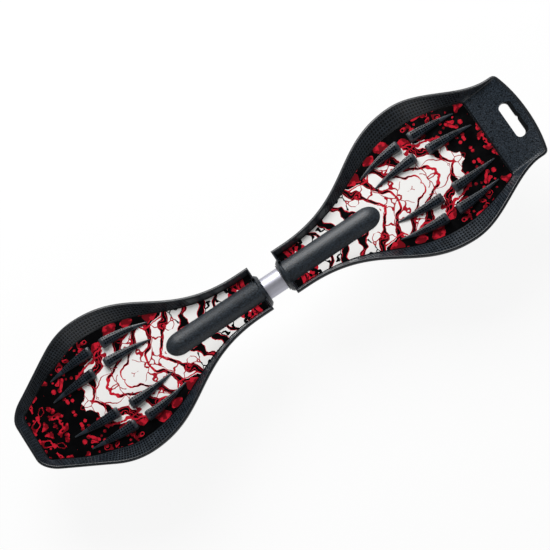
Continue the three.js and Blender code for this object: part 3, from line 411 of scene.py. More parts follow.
def plastic_finishes(colours):
    """The decks' finishes: shell, pits in painted shade, ridges with a painted highlight, the
    grained tail plate and the sleeves.
    """
    base = tuple(colours.plastic)
    return {
        # Injection moulded polypropylene with an even satin skin: soft grey highlights on the
        # rolled lip, a faint mottle and edges that handling has polished paler. The index is a
        # little under polypropylene's 1.49, because the moulded grain dulls its reflections
        "shell": finish(
            "Moulded polypropylene, satin", (lighter(base, 0.75), lighter(base, 1.3)),
            (0.27, 0.36), patch=11, grain=1.5, relief=0.24, ior=1.44, worn=linear("#474c53"),
        ),
        # The same plastic down in the pits and the finger scoop, painted near black as the shade in
        # these recesses; the low index dims their reflections as that shade would
        "pit": finish(
            "Moulded polypropylene, pit floors", (lighter(base, 0.2), lighter(base, 0.6)),
            (0.2, 0.3), patch=3, grain=1.6, relief=0.1, ior=1.3,
        ),
        # The ridges between the pits, a shade paler: a painted highlight on the raised relief
        "ridge": finish(
            "Moulded polypropylene, rubbed", (lighter(base, 1.7), lighter(base, 4.2)),
            (0.25, 0.34), patch=9, grain=1.0, relief=0.05, ior=1.44,
        ),
        # Spark eroded grain of the tail plate. The real grain is about 0.4 mm across and is
        # drawn coarser here, so that it shows
        "grain": finish(
            "Moulded polypropylene, grained", (lighter(base, 0.05), lighter(base, 5.4)),
            (0.22, 0.36), patch=1.9, grain=2, relief=0.5, ior=1.44,
        ),
        # The sleeves have a duller grain, which spreads their highlight along the side that
        # faces the light
        "sleeve": finish(
            "Moulded polypropylene, dull grain", (lighter(base, 0.05), lighter(base, 5.4)),
            (0.38, 0.5), patch=1.9, grain=2, relief=0.5, ior=1.49,
        ),
    }


def print_finish(end, colours):
    """Glossy laminated film with a generic pattern of flame stripes and flecks.

    The pattern is drawn in the deck's own frame: u runs along the deck from the gap, and v is
    the distance from its centre line, so both sides mirror each other.
    """
    material, tree = new_tree(f"Laminated print film, {end}")
    white, red, black = (tuple(c) for c in (colours.white, colours.red, colours.black))
    place = add(tree, "TexCoord").outputs["Object"]
    turn, shift = (math.pi, GAP_X * MM) if end == "rear" else (0, -GAP_X * MM)
    local = add(tree, "Mapping", {
        "Vector": place, "Location": (shift, 0, 0), "Rotation": (0, 0, turn),
    })
    axes = add(tree, "SeparateXYZ", {0: local})
    side = add(tree, "Math", {0: axes.outputs[1]}, operation="ABSOLUTE")
    flat = add(tree, "CombineXYZ", {0: axes.outputs[0], 1: side})

    # Everything is bent by one slow noise, so that no edge runs straight
    drift = add(tree, "TexNoise", {"Vector": flat, "Scale": 26, "Detail": 2.5})
    centred = add(tree, "VectorMath", {
        0: drift.outputs["Color"], 1: (0.5, 0.5, 0.5),
    }, operation="SUBTRACT")
    pushed = add(tree, "VectorMath", {0: centred, "Scale": 0.055}, operation="SCALE")
    bent = add(tree, "VectorMath", {0: flat, 1: pushed}, operation="ADD")
    bent_axes = add(tree, "SeparateXYZ", {0: bent})
    u = bent_axes.outputs[0]
    across = add(tree, "Math", {0: bent_axes.outputs[1]}, operation="ABSOLUTE")
    v = add(tree, "Math", {0: across, 1: 0.001}, operation="MAXIMUM")

    # Half width of the white body along the deck, over 0.42 m and up to 0.1 m
    share = add(tree, "Math", {0: u, 1: 0.42}, operation="DIVIDE")
    half = add(tree, "FloatCurve", {1: share})
    shape = half.mapping.curves[0].points
    shape[0].location, shape[1].location = (0, 0.06), (1, 0)
    for place_on in ((0.11, 0.1), (0.14, 0.85), (0.3, 0.7), (0.42, 0.5), (0.56, 0.64),
                     (0.72, 0.52), (0.81, 0)):
        shape.new(*place_on)
    half.mapping.update()
    reach = add(tree, "Math", {0: half, 1: 0.1}, operation="MULTIPLY")
    floored = add(tree, "Math", {0: reach, 1: 0.0005}, operation="MAXIMUM")
    out = add(tree, "Math", {0: v, 1: floored}, operation="DIVIDE")

    # Stripes swept back towards the neck, wide at the body's edge and thin at its middle
    back = add(tree, "Math", {0: v, 1: 0.9, 2: u}, operation="MULTIPLY_ADD")
    wave_place = add(tree, "CombineXYZ", {0: back})
    wave = add(tree, "TexWave", {
        "Vector": wave_place, "Scale": 10.5, "Distortion": 1.2, "Detail": 1.5, "Detail Scale": 2,
    }, wave_profile="SIN")
    taper = add(tree, "Math", {0: out, 1: -0.62, 2: 0.98}, operation="MULTIPLY_ADD")
    depth = add(tree, "Math", {0: wave.outputs["Fac"], 1: taper}, operation="SUBTRACT")
    stripes = add(tree, "ValToRGB", {0: depth}, stops=[
        (0, white), (0.004, red), (0.11, black), (0.3, red), (0.36, black),
    ])
    stripes.color_ramp.interpolation = "CONSTANT"

    # Thin cracks in the white, black near the neck and dark red farther out
    cracks = add(tree, "TexVoronoi", {
        "Vector": bent, "Scale": 40, "Randomness": 0.9,
    }, feature="DISTANCE_TO_EDGE")
    fine = add(tree, "Math", {0: cracks, 1: 0.03}, operation="LESS_THAN")
    gate_noise = add(tree, "TexNoise", {"Vector": flat, "Scale": 18, "Detail": 1})
    gate = add(tree, "Math", {0: gate_noise, 1: 0.46}, operation="GREATER_THAN")
    shown = add(tree, "Math", {0: fine, 1: gate}, operation="MULTIPLY")
    crack_ink = add(tree, "Mix", {
        0: add(tree, "Math", {0: u, 1: 0.15}, operation="GREATER_THAN"),
        6: (*black, 1), 7: (*lighter(red, 0.7), 1),
    }, data_type="RGBA").outputs[2]
    body = add(tree, "Mix", {0: shown, 6: stripes, 7: crack_ink}, data_type="RGBA").outputs[2]

    # Red blotches, rings and specks on the black round it. Each is a pattern of cells, and
    # each cell has a chance of its own
    cells = []
    for where, scale, uneven, feature in (
        (bent, 46, 1, "SMOOTH_F1"), (bent, 62, 0.8, "F1"), (flat, 125, 1, "F1"),
    ):
        inputs = {"Vector": where, "Scale": scale, "Randomness": uneven}
        cell = add(tree, "TexVoronoi", inputs, feature=feature)
        chance = add(tree, "SeparateColor", {0: cell.outputs["Color"]})
        cells.append((cell.outputs["Distance"], chance.outputs[0]))
    (blot_far, blot_chance), (ring_far, ring_chance), (speck_far, speck_chance) = cells
    crowd = add(tree, "MapRange", {
        "Value": out, "From Min": 1, "From Max": 2.2, "To Min": 0.92, "To Max": 0.34,
    })
    size = add(tree, "Math", {0: blot_chance, 1: crowd}, operation="MULTIPLY")
    blot = add(tree, "Math", {0: blot_far, 1: size}, operation="LESS_THAN")
    curl = add(tree, "Math", {0: ring_far, 1: 0.38, 2: 0.055}, operation="COMPARE")
    some = add(tree, "Math", {0: ring_chance, 1: 0.62}, operation="GREATER_THAN")
    curls = add(tree, "Math", {0: curl, 1: some}, operation="MULTIPLY")
    size = add(tree, "Math", {0: speck_chance, 1: 0.9, 2: -0.36}, operation="MULTIPLY_ADD")
    speck = add(tree, "Math", {0: speck_far, 1: size}, operation="LESS_THAN")
    blots_or_curls = add(tree, "Math", {0: blot, 1: curls}, operation="MAXIMUM")
    any_red = add(tree, "Math", {0: blots_or_curls, 1: speck}, operation="MAXIMUM")
    # Some of the red is printed darker
    tint = add(tree, "TexNoise", {"Vector": flat, "Scale": 90, "Detail": 2})
    ink = add(tree, "ValToRGB", {0: tint}, stops=[
        (0, lighter(red, 0.3)), (0.46, lighter(red, 0.3)), (0.54, red),
    ])
    rim = add(tree, "Mix", {0: any_red, 6: (*black, 1), 7: ink}, data_type="RGBA").outputs[2]

    # The body's edge: a red line, a white line, then the ground
    edge = add(tree, "ValToRGB", {0: out}, stops=[
        (0, (1, 1, 1)), (0.9, (0, 0, 0)), (0.96, (1, 1, 1)), (0.985, (0, 0, 0)),
    ])
    edge.color_ramp.interpolation = "CONSTANT"
    line = add(tree, "Mix", {
        0: add(tree, "Math", {0: out, 1: 0.98}, operation="GREATER_THAN"),
        6: (*red, 1), 7: rim,
    }, data_type="RGBA").outputs[2]
    inked = add(tree, "Mix", {0: edge, 6: line, 7: body}, data_type="RGBA").outputs[2]

    # Scuffs from shoes dull the film here and there
    scuff = add(tree, "TexNoise", {"Vector": place, "Scale": 60, "Detail": 4})
    rough = add(tree, "MapRange", {
        "Value": scuff, "From Min": 0.4, "From Max": 0.65, "To Min": 0.1, "To Max": 0.18,
    })
    ripple = add(tree, "Bump", {"Height": scuff, "Distance": 0.00004, "Strength": 0.5})
    shader = add(tree, "BsdfPrincipled", {
        "Base Color": inked, "Roughness": rough, "IOR": 1.5, "Normal": ripple,
    })
    add(tree, "OutputMaterial", {"Surface": shader})
    return material


def metal_finishes():
    """Finishes of the metal pieces."""
    return {
        # Drawn and satin anodised aluminium: a soft broad highlight along the tube, with
        # faint draw lines
        "tube": finish(
            "Anodised aluminium, satin", (linear("#b2b2bd"), linear("#c2c2cb")), (0.5, 0.58),
            patch=6, grain=1.1, relief=0.02, metallic=1.0, stretch=(0.06, 1, 1),
        ),
        # Pressed steel with a clear zinc plating: bright grey with cloudy patches
        "steel": finish(
            "Zinc-plated steel, pressed", (linear("#9fa3a8"), linear("#b9bcc0")), (0.3, 0.46),
            patch=9, grain=1.4, relief=0.03, metallic=1.0, worn=linear("#d0d2d4"),
        ),
        # Bright zinc on turned and forged fasteners
        "zinc": finish(
            "Bright zinc, turned", (linear("#b4b7ba"), linear("#cccfd1")), (0.2, 0.32),
            patch=4, grain=0.8, relief=0.02, metallic=1.0,
        ),
        # Ground and hardened ring steel of the bearings and races
        "ring": finish(
            "Bearing steel, ground", (linear("#a4a7ab"), linear("#bfc2c5")), (0.14, 0.24),
            patch=5, grain=0.6, relief=0.01, metallic=1.0,
        ),
        # Oiled spring steel bar, blued by its heat treatment
        "spring": finish(
            "Spring steel, oiled", (linear("#4c4f55"), linear("#5f6267")), (0.36, 0.5),
            patch=8, grain=1.5, relief=0.03, metallic=1.0, stretch=(0.1, 1, 1),
        ),
    }


def plain_finishes(colours):
    """Finishes of the tyres, hubs, bushes and bearing shields."""
    tyre, hub = tuple(colours.tyre), tuple(colours.hub)
    return {
        # Cast urethane, ground on the tread: near black, waxy, a little paler where it wears
        "tyre": finish(
            "Cast urethane", (lighter(tyre, 0.85), lighter(tyre, 1.5)), (0.3, 0.46),
            patch=7, grain=0.7, relief=0.04, ior=1.51,
        ),
        # Glass-filled nylon, moulded in colour
        "hub": finish(
            "Glass-filled nylon", (lighter(hub, 0.85), lighter(hub, 1.12)), (0.34, 0.5),
            patch=5, grain=0.6, relief=0.03, ior=1.53,
        ),
        # Moulded nylon of the bushes, dull and dark
        "bush": finish(
            "Moulded nylon", (linear("#26272a"), linear("#323337")), (0.42, 0.55),
            patch=5, grain=0.6, relief=0.02, ior=1.53,
        ),
        # Rubber lip of the bearing shields
        "shield": finish(
            "Nitrile rubber", (linear("#161618"), linear("#202124")), (0.5, 0.65),
            patch=3, grain=0.5, relief=0.02, ior=1.52,
        ),
    }


finishes = {}


def use(kind):
    """A finish by its short name, made once."""
    if not finishes:
        colours = bpy.context.scene.board_colours
        finishes.update(plastic_finishes(colours))
        finishes.update(metal_finishes())
        finishes.update(plain_finishes(colours))
        for end in ENDS:
            finishes[f"print_{end}"] = print_finish(end, colours)
    return finishes[kind]


# Places: each of these matrices takes millimetres of its own frame to metres of the board's


def deck_place(end):
    """The deck's frame: X runs outwards from the middle of the gap."""
    turn = Matrix.Rotation(math.pi if end == "rear" else 0, 4, "Z")
    return Matrix.Translation((GAP_X * MM, 0, 0)) @ turn @ Matrix.Scale(MM, 4)


def torsion_place():
    """The torsion unit's frame: its origin is on the tube's axis, in the middle of the gap."""
    return Matrix.Translation((GAP_X * MM, 0, TUBE_AXIS * MM)) @ Matrix.Scale(MM, 4)


def pivot_origin(end):
    """X and Z of the point on the pivot's axis that is nearest to the wheel's centre."""
    return WHEEL_AT[end] + TRAIL * math.cos(LEAN), WHEEL_RADIUS - TRAIL * math.sin(LEAN)


def caster_place(end):
    """The caster's frame: Z runs up the leaning pivot, and the wheel lies behind it on -X."""
    x, z = pivot_origin(end)
    origin = Matrix.Translation(((x + GAP_X) * MM, 0, z * MM))
    return origin @ Matrix.Rotation(LEAN, 4, "Y") @ Matrix.Scale(MM, 4)


def wheel_place(end):
    """The wheel's frame, upright at its centre."""
    centre = Matrix.Translation(((WHEEL_AT[end] + GAP_X) * MM, 0, WHEEL_RADIUS * MM))
    return centre @ Matrix.Scale(MM, 4)


# Making pieces


def add_piece(name, bm, place, kinds, angle, body, slot, *nodes):
    """Makes a piece from a bmesh, in its place, and rides it on the body that carries it.

    kinds are its finishes, angle is how sharp its smooth edges may be, in degrees, and nodes are
    the CAD nodes that it replaces. slot, the name of its material slot, is not used.
    """
    bmesh.ops.transform(bm, matrix=place, verts=bm.verts)
    bmesh.ops.recalc_face_normals(bm, faces=bm.faces)
    mesh = bpy.data.meshes.new(name)
    bm.to_mesh(mesh)
    bm.free()
    for kind in kinds.split():
        mesh.materials.append(use(kind))
    mesh.polygons.foreach_set("use_smooth", [True] * len(mesh.polygons))
    mesh.set_sharp_from_angle(angle=math.radians(angle))
    piece = bpy.data.objects.new(name, mesh)
    bpy.context.scene.collection.objects.link(piece)
    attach(piece, body)
    if nodes:
        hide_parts(*nodes)


def add_deck_piece(end, part, bm, kinds, angle, *nodes):
    """Makes a moulded piece of a deck."""
    body = f"{end}_deck"
    add_piece(f"{body}_{part}", bm, deck_place(end), kinds, angle, body, "deck_plastic", *nodes)


def add_fastener(name, bm, place, body, node, angle=35):
    """Makes a plated bolt, screw, nut or washer."""
    add_piece(name, bm, place, "zinc", angle, body, "fasteners", node)


def moved(bm, x=0, y=0, z=0):
    """The bmesh, moved."""
    bmesh.ops.translate(bm, vec=(x, y, z), verts=bm.verts)
    return bm


def turned_to_y(bm):
    """The bmesh, turned so that what ran up along Z runs along Y."""
    bmesh.ops.rotate(bm, matrix=Matrix.Rotation(-math.pi / 2, 3, "X"), verts=bm.verts)
    return bm


def spun(profile, axis="Z", closed=False, turns=None):
    """A turned form, from (radius, distance along the axis) points."""
    bm = bmesh.new()
    along = Vector([float(axis == name) for name in "XYZ"])
    out = Vector((0, 0, 1)) if axis == "X" else Vector((1, 0, 0))
    verts = [bm.verts.new(along * at + out * radius) for radius, at in profile]
    pairs = zip(verts, verts[1:] + (verts[:1] if closed else []))
    edges = [bm.edges.new(pair) for pair in pairs]
    bmesh.ops.spin(
        bm, geom=verts + edges, cent=(0, 0, 0), axis=along, angle=2 * math.pi,
        steps=turns or bpy.context.scene.board_sizes.turns, use_merge=True,
    )
    bmesh.ops.remove_doubles(bm, verts=bm.verts, dist=1e-4)
    return bm


def arc(radius, start, end, steps, centre=(0, 0)):
    """Points on an arc, from one angle to another in degrees."""
    angles = [math.radians(start + (end - start) * k / steps) for k in range(steps + 1)]
    return [(centre[0] + radius * math.cos(a), centre[1] + radius * math.sin(a)) for a in angles]


def ring_section(inner, outer, low, top, ease, between=()):
    """Section of a ring with eased outer corners, and what lies between them on its outside."""
    return [
        (inner, low), (outer - ease, low), (outer, low + ease), *between,
        (outer, top - ease), (outer - ease, top), (inner, top),
    ]


def slab(outline, low, high, plane="XY"):
    """An outline given a thickness. In the XZ plane it lies across Y, in YZ across X."""
    bm = bmesh.new()
    across = next(k for k, name in enumerate("XYZ") if name not in plane)
    corners = [[a, b] for a, b in outline]
    for corner in corners:
        corner.insert(across, low)
    face = bm.faces.new([bm.verts.new(corner) for corner in corners])
    risen = bmesh.ops.extrude_face_region(bm, geom=[face])["geom"]
    way = [0, 0, 0]
    way[across] = high - low
    bmesh.ops.translate(bm, vec=way, verts=[g for g in risen if isinstance(g, bmesh.types.BMVert)])
    bmesh.ops.recalc_face_normals(bm, faces=bm.faces)
    return bm


def soften(bm, width, angle=40, segments=2):
    """Rounds the edges that are sharper than an angle."""
    sharp = [
        e for e in bm.edges
        if len(e.link_faces) == 2 and e.calc_face_angle(0) > math.radians(angle)
    ]
    bmesh.ops.bevel(
        bm, geom=sharp, offset=width, affect="EDGES", segments=segments, profile=0.5,
        material=-1, clamp_overlap=True,
    )
    return bm


def combined(bm, cutter, operation):
    """The bmesh after one boolean operation with another, by a modifier that is applied."""
    working = []
    for part in (bm, cutter):
        bmesh.ops.recalc_face_normals(part, faces=part.faces)
        mesh = bpy.data.meshes.new("working")
        part.to_mesh(mesh)
        part.free()
        working.append(bpy.data.objects.new("working", mesh))
        bpy.context.scene.collection.objects.link(working[-1])
    modifier = working[0].modifiers.new("cut", "BOOLEAN")
    modifier.operation = operation
    modifier.object = working[1]
    modifier.solver = "EXACT"
    done = working[0].evaluated_get(bpy.context.evaluated_depsgraph_get()).to_mesh()
    out = bmesh.new()
    out.from_mesh(done)
    for used in working:
        mesh = used.data
        bpy.data.objects.remove(used)
        bpy.data.meshes.remove(mesh)
    bmesh.ops.remove_doubles(out, verts=out.verts, dist=1e-3)
    if not out.faces:
        raise RuntimeError("a cut left nothing of its piece")
    return out


def drilled(bm, radius, low, top, axis="Z", turns=40, centre=(0, 0, 0)):
    """The bmesh after a round hole is drilled along an axis."""
    drill = spun([(0, low), (radius, low), (radius, top), (0, top)], axis, turns=turns)
    return combined(bm, moved(drill, *centre), "DIFFERENCE")


def absorb(bm, other):
    """Adds the faces of another bmesh."""
    mesh = bpy.data.meshes.new("working")
    other.to_mesh(mesh)
    other.free()
    bm.from_mesh(mesh)
    bpy.data.meshes.remove(mesh)


def lofted(bm, rings):
    """Joins matching rings into a skin with closed ends. Gives both ends, and each span's faces."""
    verts = [bm.verts.new(p) for p in rings[0]]
    edges = [bm.edges.new(pair) for pair in zip(verts, verts[1:] + verts[:1])]
    first = bm.faces.new(verts)
    spans = []
    for points in rings[1:]:
        made = bmesh.ops.extrude_edge_only(bm, edges=edges)["geom"]
        fresh = {g for g in made if isinstance(g, bmesh.types.BMVert)}
        after = []
        for vert, place in zip(verts, points):
            twin = next(e.other_vert(vert) for e in vert.link_edges if e.other_vert(vert) in fresh)
            twin.co = place
            after.append(twin)
        verts = after
        edges = [bm.edges.get(pair) for pair in zip(verts, verts[1:] + verts[:1])]
        spans.append([g for g in made if isinstance(g, bmesh.types.BMFace)])
    return [first, bm.faces.new(verts)], spans


def press_pits(bm, faces, depth, least=2.2):
    """Sinks a pit into each face that is wide enough, with a margin that follows its size."""
    sizes = {}
    for face in faces:
        narrow = min(e.calc_length() for e in face.edges)
        if narrow >= least:
            sizes.setdefault(round(narrow * 2), []).append(face)
    for doubled, group in sizes.items():
        narrow = doubled / 2
        sunk = depth * min(narrow / 4, 1)
        for share, drop in ((PIT_MARGIN, 0), (PIT_SLOPE, -sunk)):
            bmesh.ops.inset_individual(
                bm, faces=group, thickness=narrow * share, depth=drop, use_even_offset=True,
            )
        # Each pit's floor takes the near-black pit finish, painted shade in the recess
        for face in group:
            face.material_index = SHADED_PIT


# Deck outlines, from the middle of the free end to the middle of the neck. A stretch is a
# curve's handles and the shares of it where the stretch starts and ends. The bare shares set
# how far along its run each curve keeps its direction, as the photograph shows it


def bezier(handles, share):
    """A point on a curve of any degree."""
    while len(handles) > 1:
        handles = [a.lerp(b, share) for a, b in zip(handles, handles[1:])]
    return handles[0]


def curve(handles, steps, since=0):
    """Points on a curve, from a step that is counted from its start."""
    return [bezier(handles, k / steps) for k in range(since, steps + 1)]


def at(x, y):
    """A point of an outline."""
    return Vector((x, y))


def towards(start, end, length):
    """The point at a length from start on the way to end."""
    return start + (end - start).normalized() * length


def corner_handles(before, corner, after, size):
    """Handles of a rounded corner between two straight stretches."""
    start, end = towards(corner, before, size), towards(corner, after, size)
    return [start, start.lerp(corner, CORNER_PULL), end.lerp(corner, CORNER_PULL), end]


def flank(widest, half, neck, neck_end):
    """Stretches from the widest line to the middle of the neck's end."""
    start = at(NECK_GAP / 2 + NECK_STRAIGHT, neck)
    run = widest - start.x
    to_wing, to_neck = at(widest - run * 0.42, half), at(start.x + run * 0.51, neck)
    corner = at(neck_end, neck)
    return [
        ([at(widest, half), to_wing, to_neck, start], 0, 1),
        ([start, corner], 0, 1),
        ([corner, at(neck_end, 0)], 0, 1),
    ]


def outer_flank(widest, half):
    """The lip's stretches along the wing and the neck."""
    return flank(widest, half, NECK_HALF, NECK_GAP / 2)


def pan_flank(widest, half):
    """The foot floor's stretches along the wing and the neck."""
    return flank(widest, half, NECK_HALF - NECK_RIM, NECK_GAP / 2 + NECK_END_RIM)


def shoulder_bend(shoulder, beyond, half):
    """The stretch from the front deck's shoulder to its widest line."""
    bend_in = towards(shoulder, beyond, -SHOULDER_RUN * 0.23)
    bend_out = at(FRONT_WIDEST + SHOULDER_RUN * 0.46, half)
    return ([shoulder, bend_in, bend_out, at(FRONT_WIDEST, half)], 0, 1)


OUTER_SHOULDER = at(FRONT_WIDEST + SHOULDER_RUN, FRONT_HALF - SHOULDER_DROP)
OUTER_CORNER = at(FRONT_REACH - NOSE_CORNER_RUN, NOSE_CORNER_HALF)


def front_outer():
    """Stretches of the front deck's lip."""
    flat = at(FRONT_REACH, NOSE_FLAT_HALF)
    corner_out = towards(OUTER_CORNER, OUTER_SHOULDER, -NOSE_CORNER_RUN * 0.52)
    flat_out = at(FRONT_REACH, NOSE_FLAT_HALF + NOSE_CORNER_RUN * 0.52)
    return [
        ([at(FRONT_REACH, 0), flat], 0, 1),
        ([flat, flat_out, corner_out, OUTER_CORNER], 0, 1),
        ([OUTER_CORNER, OUTER_SHOULDER], 0, 1),
        shoulder_bend(OUTER_SHOULDER, OUTER_CORNER, FRONT_HALF),
        *outer_flank(FRONT_WIDEST, FRONT_HALF),
    ]


def front_pan():
    """Stretches of the front deck's foot floor."""
    along = (OUTER_CORNER - OUTER_SHOULDER).normalized()
    inward = at(along.y, -along.x)
    shoulder = OUTER_SHOULDER + inward * SHOULDER_WALL
    knee = OUTER_SHOULDER.lerp(OUTER_CORNER, 0.38) + inward * NOSE_SIDE_WALL
    corner = at(FRONT_PAN_END, NOSE_PAN_HALF)
    middle = at(corner.x, 0)
    return [
        ([middle, towards(corner, middle, PAN_CORNER)], 0, 1),
        (corner_handles(middle, corner, knee, PAN_CORNER), 0, 1),
        ([towards(corner, knee, PAN_CORNER), knee, knee, shoulder], 0, 1),
        shoulder_bend(shoulder, knee, FRONT_PAN_HALF),
        *pan_flank(FRONT_WIDEST, FRONT_PAN_HALF),
    ]


def rear_outer():
    """Stretches of the rear deck's lip."""
    corner = at(REAR_REACH - TAIL_BOW, TAIL_HALF)
    start = at(corner.x - TAIL_STRAIGHT, TAIL_HALF)
    run = start.x - REAR_WIDEST
    waist = [
        start, at(start.x - run * 0.32, TAIL_HALF),
        at(REAR_WIDEST + run * 0.36, REAR_HALF), at(REAR_WIDEST, REAR_HALF),
    ]
    bow_handle = at(REAR_REACH, TAIL_HALF / 2)
    bow_end = towards(corner, bow_handle, TAIL_CORNER)
    return [
        ([at(REAR_REACH, 0), bow_handle, bow_end], 0, 1),
        (corner_handles(bow_end, corner, start, TAIL_CORNER), 0, 1),
        ([towards(corner, start, TAIL_CORNER), start], 0, 1),
        (waist, 0, 0.36),
        (waist, 0.36, 1),
        *outer_flank(REAR_WIDEST, REAR_HALF),
    ]


def rear_pan():
    """Stretches of the rear deck's foot floor."""
    half = REAR_PAN_HALF
    corner = at(REAR_PAN_END, TAIL_PAN_HALF)
    run = corner.x - REAR_WIDEST
    lead = at(corner.x - run * 0.32, (TAIL_PAN_HALF + half) / 2)
    middle = at(corner.x, 0)
    start = towards(corner, lead, PAN_CORNER)
    rounded = corner_handles(middle, corner, start, PAN_CORNER)
    return [
        ([middle, towards(corner, middle, PAN_CORNER)], 0, 1),
        (rounded, 0, 0.4),
        (rounded, 0.4, 0.5),
        (rounded, 0.5, 1),
        ([start, lead, at(REAR_WIDEST + run * 0.36, half), at(REAR_WIDEST, half)], 0, 1),
        *pan_flank(REAR_WIDEST, half),
    ]


def marked(stretch, steps):
    """Points along a stretch, and how far along it each of them lies."""
    handles, since, until = stretch
    dense = [bezier(handles, since + (until - since) * k / steps) for k in range(steps + 1)]
    marks = [0.0]
    for a, b in zip(dense, dense[1:]):
        marks.append(marks[-1] + (b - a).length)
    return dense, marks


def walked(stretch, count):
    """Evenly spaced points along a stretch, without its last."""
    dense, marks = marked(stretch, 80)
    points, k = [], 0
    for i in range(count):
        want = marks[-1] * i / count
        while marks[k + 1] < want:
            k += 1
        share = (want - marks[k]) / max(marks[k + 1] - marks[k], 1e-9)
        points.append(dense[k].lerp(dense[k + 1], share))
    return points


def closed_loop(stretches, counts):
    """A half outline and its mirror image, as one closed loop."""
    half = [p for s, n in zip(stretches, counts) for p in walked(s, n)]
    half.append(bezier(stretches[-1][0], 1))
    return half + [at(p.x, -p.y) for p in reversed(half[1:-1])]


def along_loop(counts, values):
    """A value for each point of a loop, eased from each stretch's start to the next one's."""
    half = []
    for n, a, b in zip(counts, values, values[1:]):
        for i in range(n):
            eased = (i / n) ** 2 * (3 - 2 * i / n)
            half.append(a + (b - a) * eased)
    half.append(values[-1])
    return half + list(reversed(half[1:-1]))


def inset(loop, distance):
    """A loop moved inwards all round, with mitred corners."""
    points = []
    for i, p in enumerate(loop):
        before = (p - loop[i - 1]).normalized()
        after = (loop[(i + 1) % len(loop)] - p).normalized()
        across = at(-before.y, before.x)
        inward = (across + at(-after.y, after.x)).normalized()
        points.append(p + inward * (distance / max(inward.dot(across), 0.5)))
    return points


def rimmed(outer, distance):
    """A loop inside a deck's outline, nearer to it at the neck's end, where the rim is thinner."""
    end = NECK_GAP / 2
    near = end + distance * NECK_END_RIM / NECK_RIM
    return [p if q.x > end + 0.01 else at(near, p.y) for p, q in zip(inset(outer, distance), outer)]


def deck_form(end):
    """Outlines of a deck, with the rise, skirt and step at each of their points."""
    pitch = bpy.context.scene.board_sizes.pit_pitch / MM
    if end == "front":
        outer, pan, levels = front_outer(), front_pan(), FRONT_LEVELS
        form = {"widest": FRONT_WIDEST, "half": FRONT_PAN_HALF, "pan_end": FRONT_PAN_END}
    else:
        outer, pan, levels = rear_outer(), rear_pan(), REAR_LEVELS
        form = {"widest": REAR_WIDEST, "half": REAR_PAN_HALF, "pan_end": REAR_PAN_END}
    counts = [max(3, round(marked(s, 20)[1][-1] / pitch)) for s in outer]
    form["outer"], form["pan"] = closed_loop(outer, counts), closed_loop(pan, counts)
    for name, values in levels.items():
        form[name] = along_loop(counts, values)
    return form


def high(loop, levels):
    """A loop at its levels."""
    return [Vector((p.x, p.y, z)) for p, z in zip(loop, levels)]


# Trays


def tray_rings(form, rows):
    """Rings of the tray's skin, from the foot floor over the wall and the lip to the underside."""
    outer, pan, rises = form["outer"], form["pan"], form["rises"]
    stepped = [towards(p, q, STEP_RUN) for p, q in zip(pan, outer)]
    foot = []
    for p, q, rise, step in zip(pan, outer, rises, form["steps"]):
        run = max((q - p).length - LIP_WIDTH, STEP_RUN)
        foot.append(FLOOR + min(max(step, rise * STEP_RUN / run), rise - LIP_FALL))
    crest = [FLOOR + rise for rise in rises]
    inner_lip = rimmed(outer, LIP_WIDTH)
    rings = [high(pan, [FLOOR] * len(pan)), high(stepped, foot)]
    for share in (k / rows for k in range(1, rows)):
        loop = [a.lerp(b, share) for a, b in zip(stepped, inner_lip)]
        rings.append(high(loop, [a + (b - LIP_FALL - a) * share for a, b in zip(foot, crest)]))
    for share, drop in LIP_SECTION:
        rings.append(high(rimmed(outer, LIP_WIDTH * share), [z + drop for z in crest]))
    low = [z - skirt for z, skirt in zip(crest, form["skirts"])]
    rings.append(high(rimmed(outer, SKIRT_DRAFT - 0.1), [z + 1 for z in low]))
    for distance in (SKIRT_DRAFT + 0.8, SKIRT_DRAFT + SKIN * 0.75):
        rings.append(high(rimmed(outer, distance), low))
    root = rimmed(outer, SKIRT_DRAFT / 4 + SKIN)
    rings.append(high(root, [z + LIP_SECTION[-1][1] - SKIN for z in crest]))
    rings.append(high(pan, [FLOOR - SKIN] * len(pan)))
    return rings


def slot_outline(grow):
    """The carry slot: a long hole with round ends, and a small point on its tail side."""
    r, y, steps = SLOT_RADIUS, SLOT_HALF, 10
    far = r + grow
    pull = r * (1 - CORNER_PULL)
    low = [at(0, -y - r), at(far * CORNER_PULL, -y - r), at(far, -y - pull), at(far, -y)]
    high_end = [at(p.x, -p.y) for p in reversed(low)]
    out, half = SLOT_POINT
    point = [at(far, -half), at(far + out, 0), at(far, half)]
    near_low = [at(*p) for p in arc(r, 180, 270, steps, (0, -y))][:-1]
    near_high = [at(*p) for p in arc(r, 90, 180, steps, (0, y))][1:-1]
    return [*near_low, *curve(low, steps), *point, *curve(high_end, steps), *near_high]


def cut_slot(bm):
    """Cuts the carry slot and its finger scoop through the tail plate."""
    middle = REAR_REACH - SLOT_INSET - SLOT_RADIUS
    slope = (TAIL_RISE - TAIL_STEP) / (TAIL_PLATE - LIP_WIDTH - STEP_RUN)
    level = FLOOR + TAIL_STEP + (middle - REAR_PAN_END - STEP_RUN) * slope
    through = slab(slot_outline(0), FLOOR - SKIN - 2, FLOOR + TAIL_RISE + 2)
    rings = []
    for share in (0, 0.25, 0.55, 0.85, 1):
        sunk = SCOOP_DEPTH * (1 - share) ** 1.6
        ring = slot_outline(SCOOP_REACH * share)
        rings.append([Vector((p.x, p.y, level + p.x * slope - sunk)) for p in ring])
    rings.append([p + Vector((0, 0, 2)) for p in rings[-1]])
    scoop = bmesh.new()
    lofted(scoop, rings)
    for cutter in (through, scoop):
        bm = combined(bm, moved(cutter, middle), "DIFFERENCE")
    bm.normal_update()
    # The scoop's sloping faces take the near-black pit finish: painted shade in the recess
    upright = Vector((-slope, 0, 1)).normalized()
    for face in bm.faces:
        place = face.calc_center_median()
        near = middle < place.x < middle + SCOOP_REACH + 10 and abs(place.y) < SLOT_HALF + 8.8
        if near and place.z > FLOOR and 0.3 < face.normal.dot(upright) < 0.997:
            face.material_index = SHADED_PIT
    return bm


